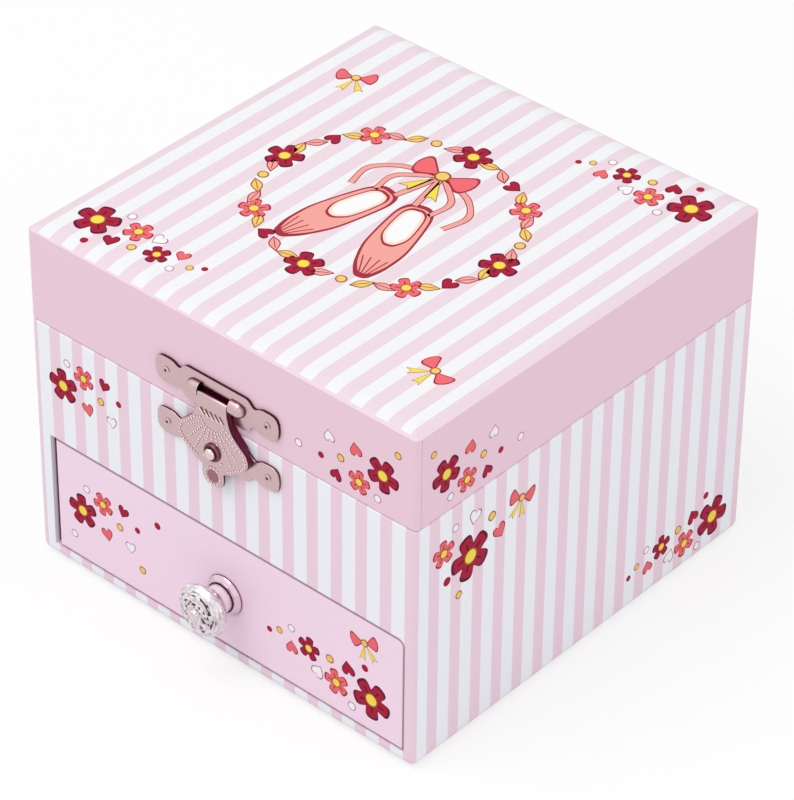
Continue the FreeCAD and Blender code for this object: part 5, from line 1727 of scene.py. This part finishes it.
    def face_and_hair(self) -> list[Piece]:
        """Models the head: an egg with small painted features, a cap of hair and a bun.

        Returns:
            The head, hair, bun, nose and features.
        """
        middle = (0, 0, self.head_up)
        head = egg("head", self.head_grid, self.head, middle)
        with editing(head, Domain.VERTS, lambda spot: spot.co.z < self.head_up):
            bpy.ops.transform.resize(value=(*self.jaw, 1), center_override=middle)
        hair = egg("hair", self.head_grid, tuple(self.hair * size for size in self.head), middle)
        behind, up = self.brow
        with editing(hair):
            bpy.ops.mesh.bisect(plane_co=(0, behind, self.head_up + up), plane_no=self.brow_way,
                                clear_outer=True, use_fill=True)
        size, behind, up = self.bun
        bun = begin("bun", bpy.ops.mesh.primitive_uv_sphere_add, segments=24, ring_count=14, radius=size,
                    location=(0, behind, self.head_up + up))
        size, share, up = self.nose
        nose = begin("nose", bpy.ops.mesh.primitive_uv_sphere_add, segments=12, ring_count=8, radius=size,
                     location=(0, -self.head[1] * share, self.head_up + up))
        return [coat(head, SKIN_PLASTIC), coat(hair, HAIR_PAINT), coat(bun, HAIR_PAINT),
                coat(nose, SKIN_PLASTIC), *(self.feature(*row) for row in self.features)]

    def feature(self, across: float, up: float, half_wide: float, half_tall: float, finish: Finish) -> Piece:
        """Paints a small oval on the face.

        Args:
            across: its place from the middle of the face.
            up: its height from there.
            half_wide: half its width.
            half_tall: half its height.
            finish: its paint.

        Returns:
            The oval.
        """
        wide, deep, tall = self.head
        if up < 0:
            wide, deep = wide * self.jaw[0], deep * self.jaw[1]
        out = deep * math.sqrt(max(0.0, 1 - (across / wide) ** 2 - (up / tall) ** 2))
        spot = (across, -out, self.head_up + up)
        return coat(egg("feature", self.feature_grid, (half_wide, self.paint, half_tall), spot), finish)

    def spring(self, axis: Vector, height: float) -> None:
        """Winds the coil that carries the figure.

        Args:
            axis: the middle of the turntable's face.
            height: the coil's height, in metres.
        """
        wire = self.wire * MM
        coil = begin("figure_coil", bpy.ops.mesh.primitive_circle_add, vertices=self.wire_sides, radius=wire,
                     location=(self.coil * MM, 0, wire), rotation=(math.pi / 2, 0, 0))
        pitch = (height - 2 * wire) / self.turns
        shape_with(coil, "SCREW", axis="Z", angle=2 * math.pi, iterations=self.turns, screw_offset=pitch,
                   steps=self.coil_steps, render_steps=self.coil_steps, use_smooth_shade=True)
        with editing(coil):
            bpy.ops.mesh.fill_holes(sides=0)
        mend(coil)
        smooth(coil, Fold.ROLLED)
        coil.data.transform(Matrix.Translation(axis))
        place(coat(coil, STEEL), "dancer", "steel", "dancer_spring")

    def skirt(self) -> None:
        """Gathers the skirt: round layers of net, each a little smaller and lower than the one above."""
        low, high = box_of("dancer_tutu")
        middle = Vector(((low.x + high.x) / 2, (low.y + high.y) / 2, high.z))
        widest = (high.x - low.x) / 2 / MM
        for i in range(self.layers):
            reach = widest - i * self.layer_step
            layer = self.net_layer(f"tutu_layer_{i + 1}", reach, i)
            drop = Vector((0, 0, i * self.layer_drop * MM))
            layer.data.transform(Matrix.Translation(middle - drop) @ Matrix.Scale(MM, 4))
            place(coat(layer, TULLE), "dancer", "tulle", *(("dancer_tutu",) if i == 0 else ()))

    def net_layer(self, name: str, reach: float, turn: int) -> Piece:
        """Gathers one round of net about the waist.

        Args:
            name: the piece's name.
            reach: its radius.
            turn: which layer it is, which sets where its ruffles start.

        Returns:
            The layer, in millimetres about the waist.
        """
        layer = begin(name, bpy.ops.mesh.primitive_circle_add, vertices=self.ruffles * self.ruffle_points,
                      radius=self.waist)
        grow = (reach / self.waist) ** (1 / self.net_rings)
        with editing(layer, Domain.EDGES):
            for _ in range(self.net_rings):
                bpy.ops.mesh.extrude_region_move()
                bpy.ops.transform.resize(value=(grow, grow, 1), center_override=(0, 0, 0))
        waves, sway = self.sway
        for spot in layer.data.vertices:
            share = max(0.0, spot.co.xy.length - self.waist) / (reach - self.waist)
            around = math.atan2(spot.co.y, spot.co.x)
            wave = math.sin(self.ruffles * around + turn * self.layer_turn)
            wave += sway * math.sin(waves * around + turn)
            fall = self.skirt_fall * share ** self.fall_power
            spot.co.z = self.ruffle * share ** self.ruffle_power * wave - fall
        mend(layer)
        shape_with(layer, "SOLIDIFY", thickness=self.net_thick, offset=0)
        smooth(layer, Fold.SOFT)
        return layer


def outward(azimuth: float, elevation: float) -> Vector:
    """Returns the direction from the box to a place around and above it, given in degrees."""
    around, up = math.radians(azimuth), math.radians(elevation)
    return Vector((math.sin(around) * math.cos(up), -math.cos(around) * math.cos(up), math.sin(up)))


@dataclass(frozen=True)
class SoftBox:
    """A square studio lamp that looks at the box."""

    name: str
    azimuth: float
    elevation: float
    distance: float
    side: float
    watts: float

    def build(self, target: Vector) -> None:
        """Sets the lamp up.

        Args:
            target: the point it looks at.
        """
        bpy.ops.object.select_all(action="DESELECT")
        back = outward(self.azimuth, self.elevation)
        bpy.ops.object.light_add(type="AREA", location=target + back * self.distance)
        lamp = bpy.context.object
        lamp.name = self.name
        lamp.rotation_euler = back.to_track_quat("Z", "Y").to_euler()
        lamp.data.size = self.side
        lamp.data.energy = self.watts


@dataclass
class Studio:
    """A white sweep, soft lamps and the camera at the photograph's viewing angle."""

    azimuth: float = 41.3845
    elevation: float = 36.9962
    roll: float = 0.6066
    stand: tuple[float, float, float] = (0.476946, -0.540080, 0.581594)
    lens_mm: float = 185.75
    sensor_mm: float = 36.0
    nearest: float = 0.01
    floor_size: float = 6.0
    floor_drop: float = 0.2 * MM
    # The floor's own colour and glow to the eye, and the colour that it sheds on the box.
    floor_lit: str = "#9C9C9C"
    floor_glow: str = "#D5D5D5"
    floor_shed: str = "#E8E8E8"
    sky: float = 0.71
    lamp_target: tuple[float, float, float] = (0, 0, 0.04)
    lamps: tuple[SoftBox, ...] = (
        SoftBox("key_softbox", -20, 62, 1.3, 0.9, 5.7),
        SoftBox("fill_softbox", 95, 30, 1.5, 1.0, 2.6),
    )

    def build(self) -> None:
        """Builds the floor, light and camera."""
        self.floor()
        self.world()
        for lamp in self.lamps:
            lamp.build(Vector(self.lamp_target))
        self.camera()

    def floor(self) -> None:
        """Lays a floor that is white to the eye and keeps the soft shadow."""
        bpy.ops.object.select_all(action="DESELECT")
        bpy.ops.mesh.primitive_plane_add(size=self.floor_size, location=(0, 0, -self.floor_drop))
        floor = bpy.context.object
        floor.name = "studio_floor"
        made = bpy.data.materials.new("matt_white_sweep")
        tree = bare_tree(made)
        lit = add_node(tree, "BsdfDiffuse", {"Color": linear(self.floor_lit)})
        glow = add_node(tree, "Emission", {"Color": linear(self.floor_glow), "Strength": 1.0})
        both = add_node(tree, "AddShader", {0: lit, 1: glow})
        shed = add_node(tree, "BsdfDiffuse", {"Color": linear(self.floor_shed)})
        eye = add_node(tree, "LightPath").outputs["Is Camera Ray"]
        seen = add_node(tree, "MixShader", {0: eye, 1: shed, 2: both})
        add_node(tree, "OutputMaterial", {"Surface": seen})
        floor.data.materials.append(made)

    def world(self) -> None:
        """Lights all round softly, with a sky that is white where it is seen or mirrored."""
        made = bpy.data.worlds.new("white_studio")
        bpy.context.scene.world = made
        tree = bare_tree(made)
        path = add_node(tree, "LightPath").outputs
        seen = path["Is Camera Ray"]
        for ray in ("Is Glossy Ray", "Is Transmission Ray"):
            seen = add_node(tree, "Math", {0: seen, 1: path[ray]}, operation="MAXIMUM")
        level = add_node(tree, "MapRange", {"Value": seen, "To Min": self.sky, "To Max": 1.0})
        sky = add_node(tree, "Background", {"Color": (1, 1, 1, 1), "Strength": level})
        add_node(tree, "OutputWorld", {"Surface": sky})

    def camera(self) -> None:
        """Sets the camera where the photograph was taken from."""
        around, roll = math.radians(self.azimuth), math.radians(self.roll)
        back = outward(self.azimuth, self.elevation)
        right = Vector((math.cos(around), math.sin(around), 0))
        upward = back.cross(right)
        side = math.cos(roll) * right + math.sin(roll) * upward
        head = -math.sin(roll) * right + math.cos(roll) * upward
        turn = Matrix((side, head, back)).transposed().to_4x4()
        bpy.ops.object.select_all(action="DESELECT")
        bpy.ops.object.camera_add()
        eye = bpy.context.object
        eye.name = "studio_camera"
        eye.matrix_world = Matrix.Translation(Vector(self.stand)) @ turn
        eye.data.lens = self.lens_mm
        eye.data.sensor_width = self.sensor_mm
        eye.data.clip_start = self.nearest
        bpy.context.scene.camera = eye


def main() -> None:
    """Builds and dresses each sub-assembly in order."""
    logging.basicConfig(level=logging.INFO, format="%(message)s")
    bpy.context.scene.view_settings.view_transform = "Standard"
    Studio().build()
    for assembly in (Carcass(), Lid(), Prints(), Drawer(), Latch(), Hinges(), Clockwork(), Dancer()):
        assembly.build()


if __name__ == "__main__":
    main()
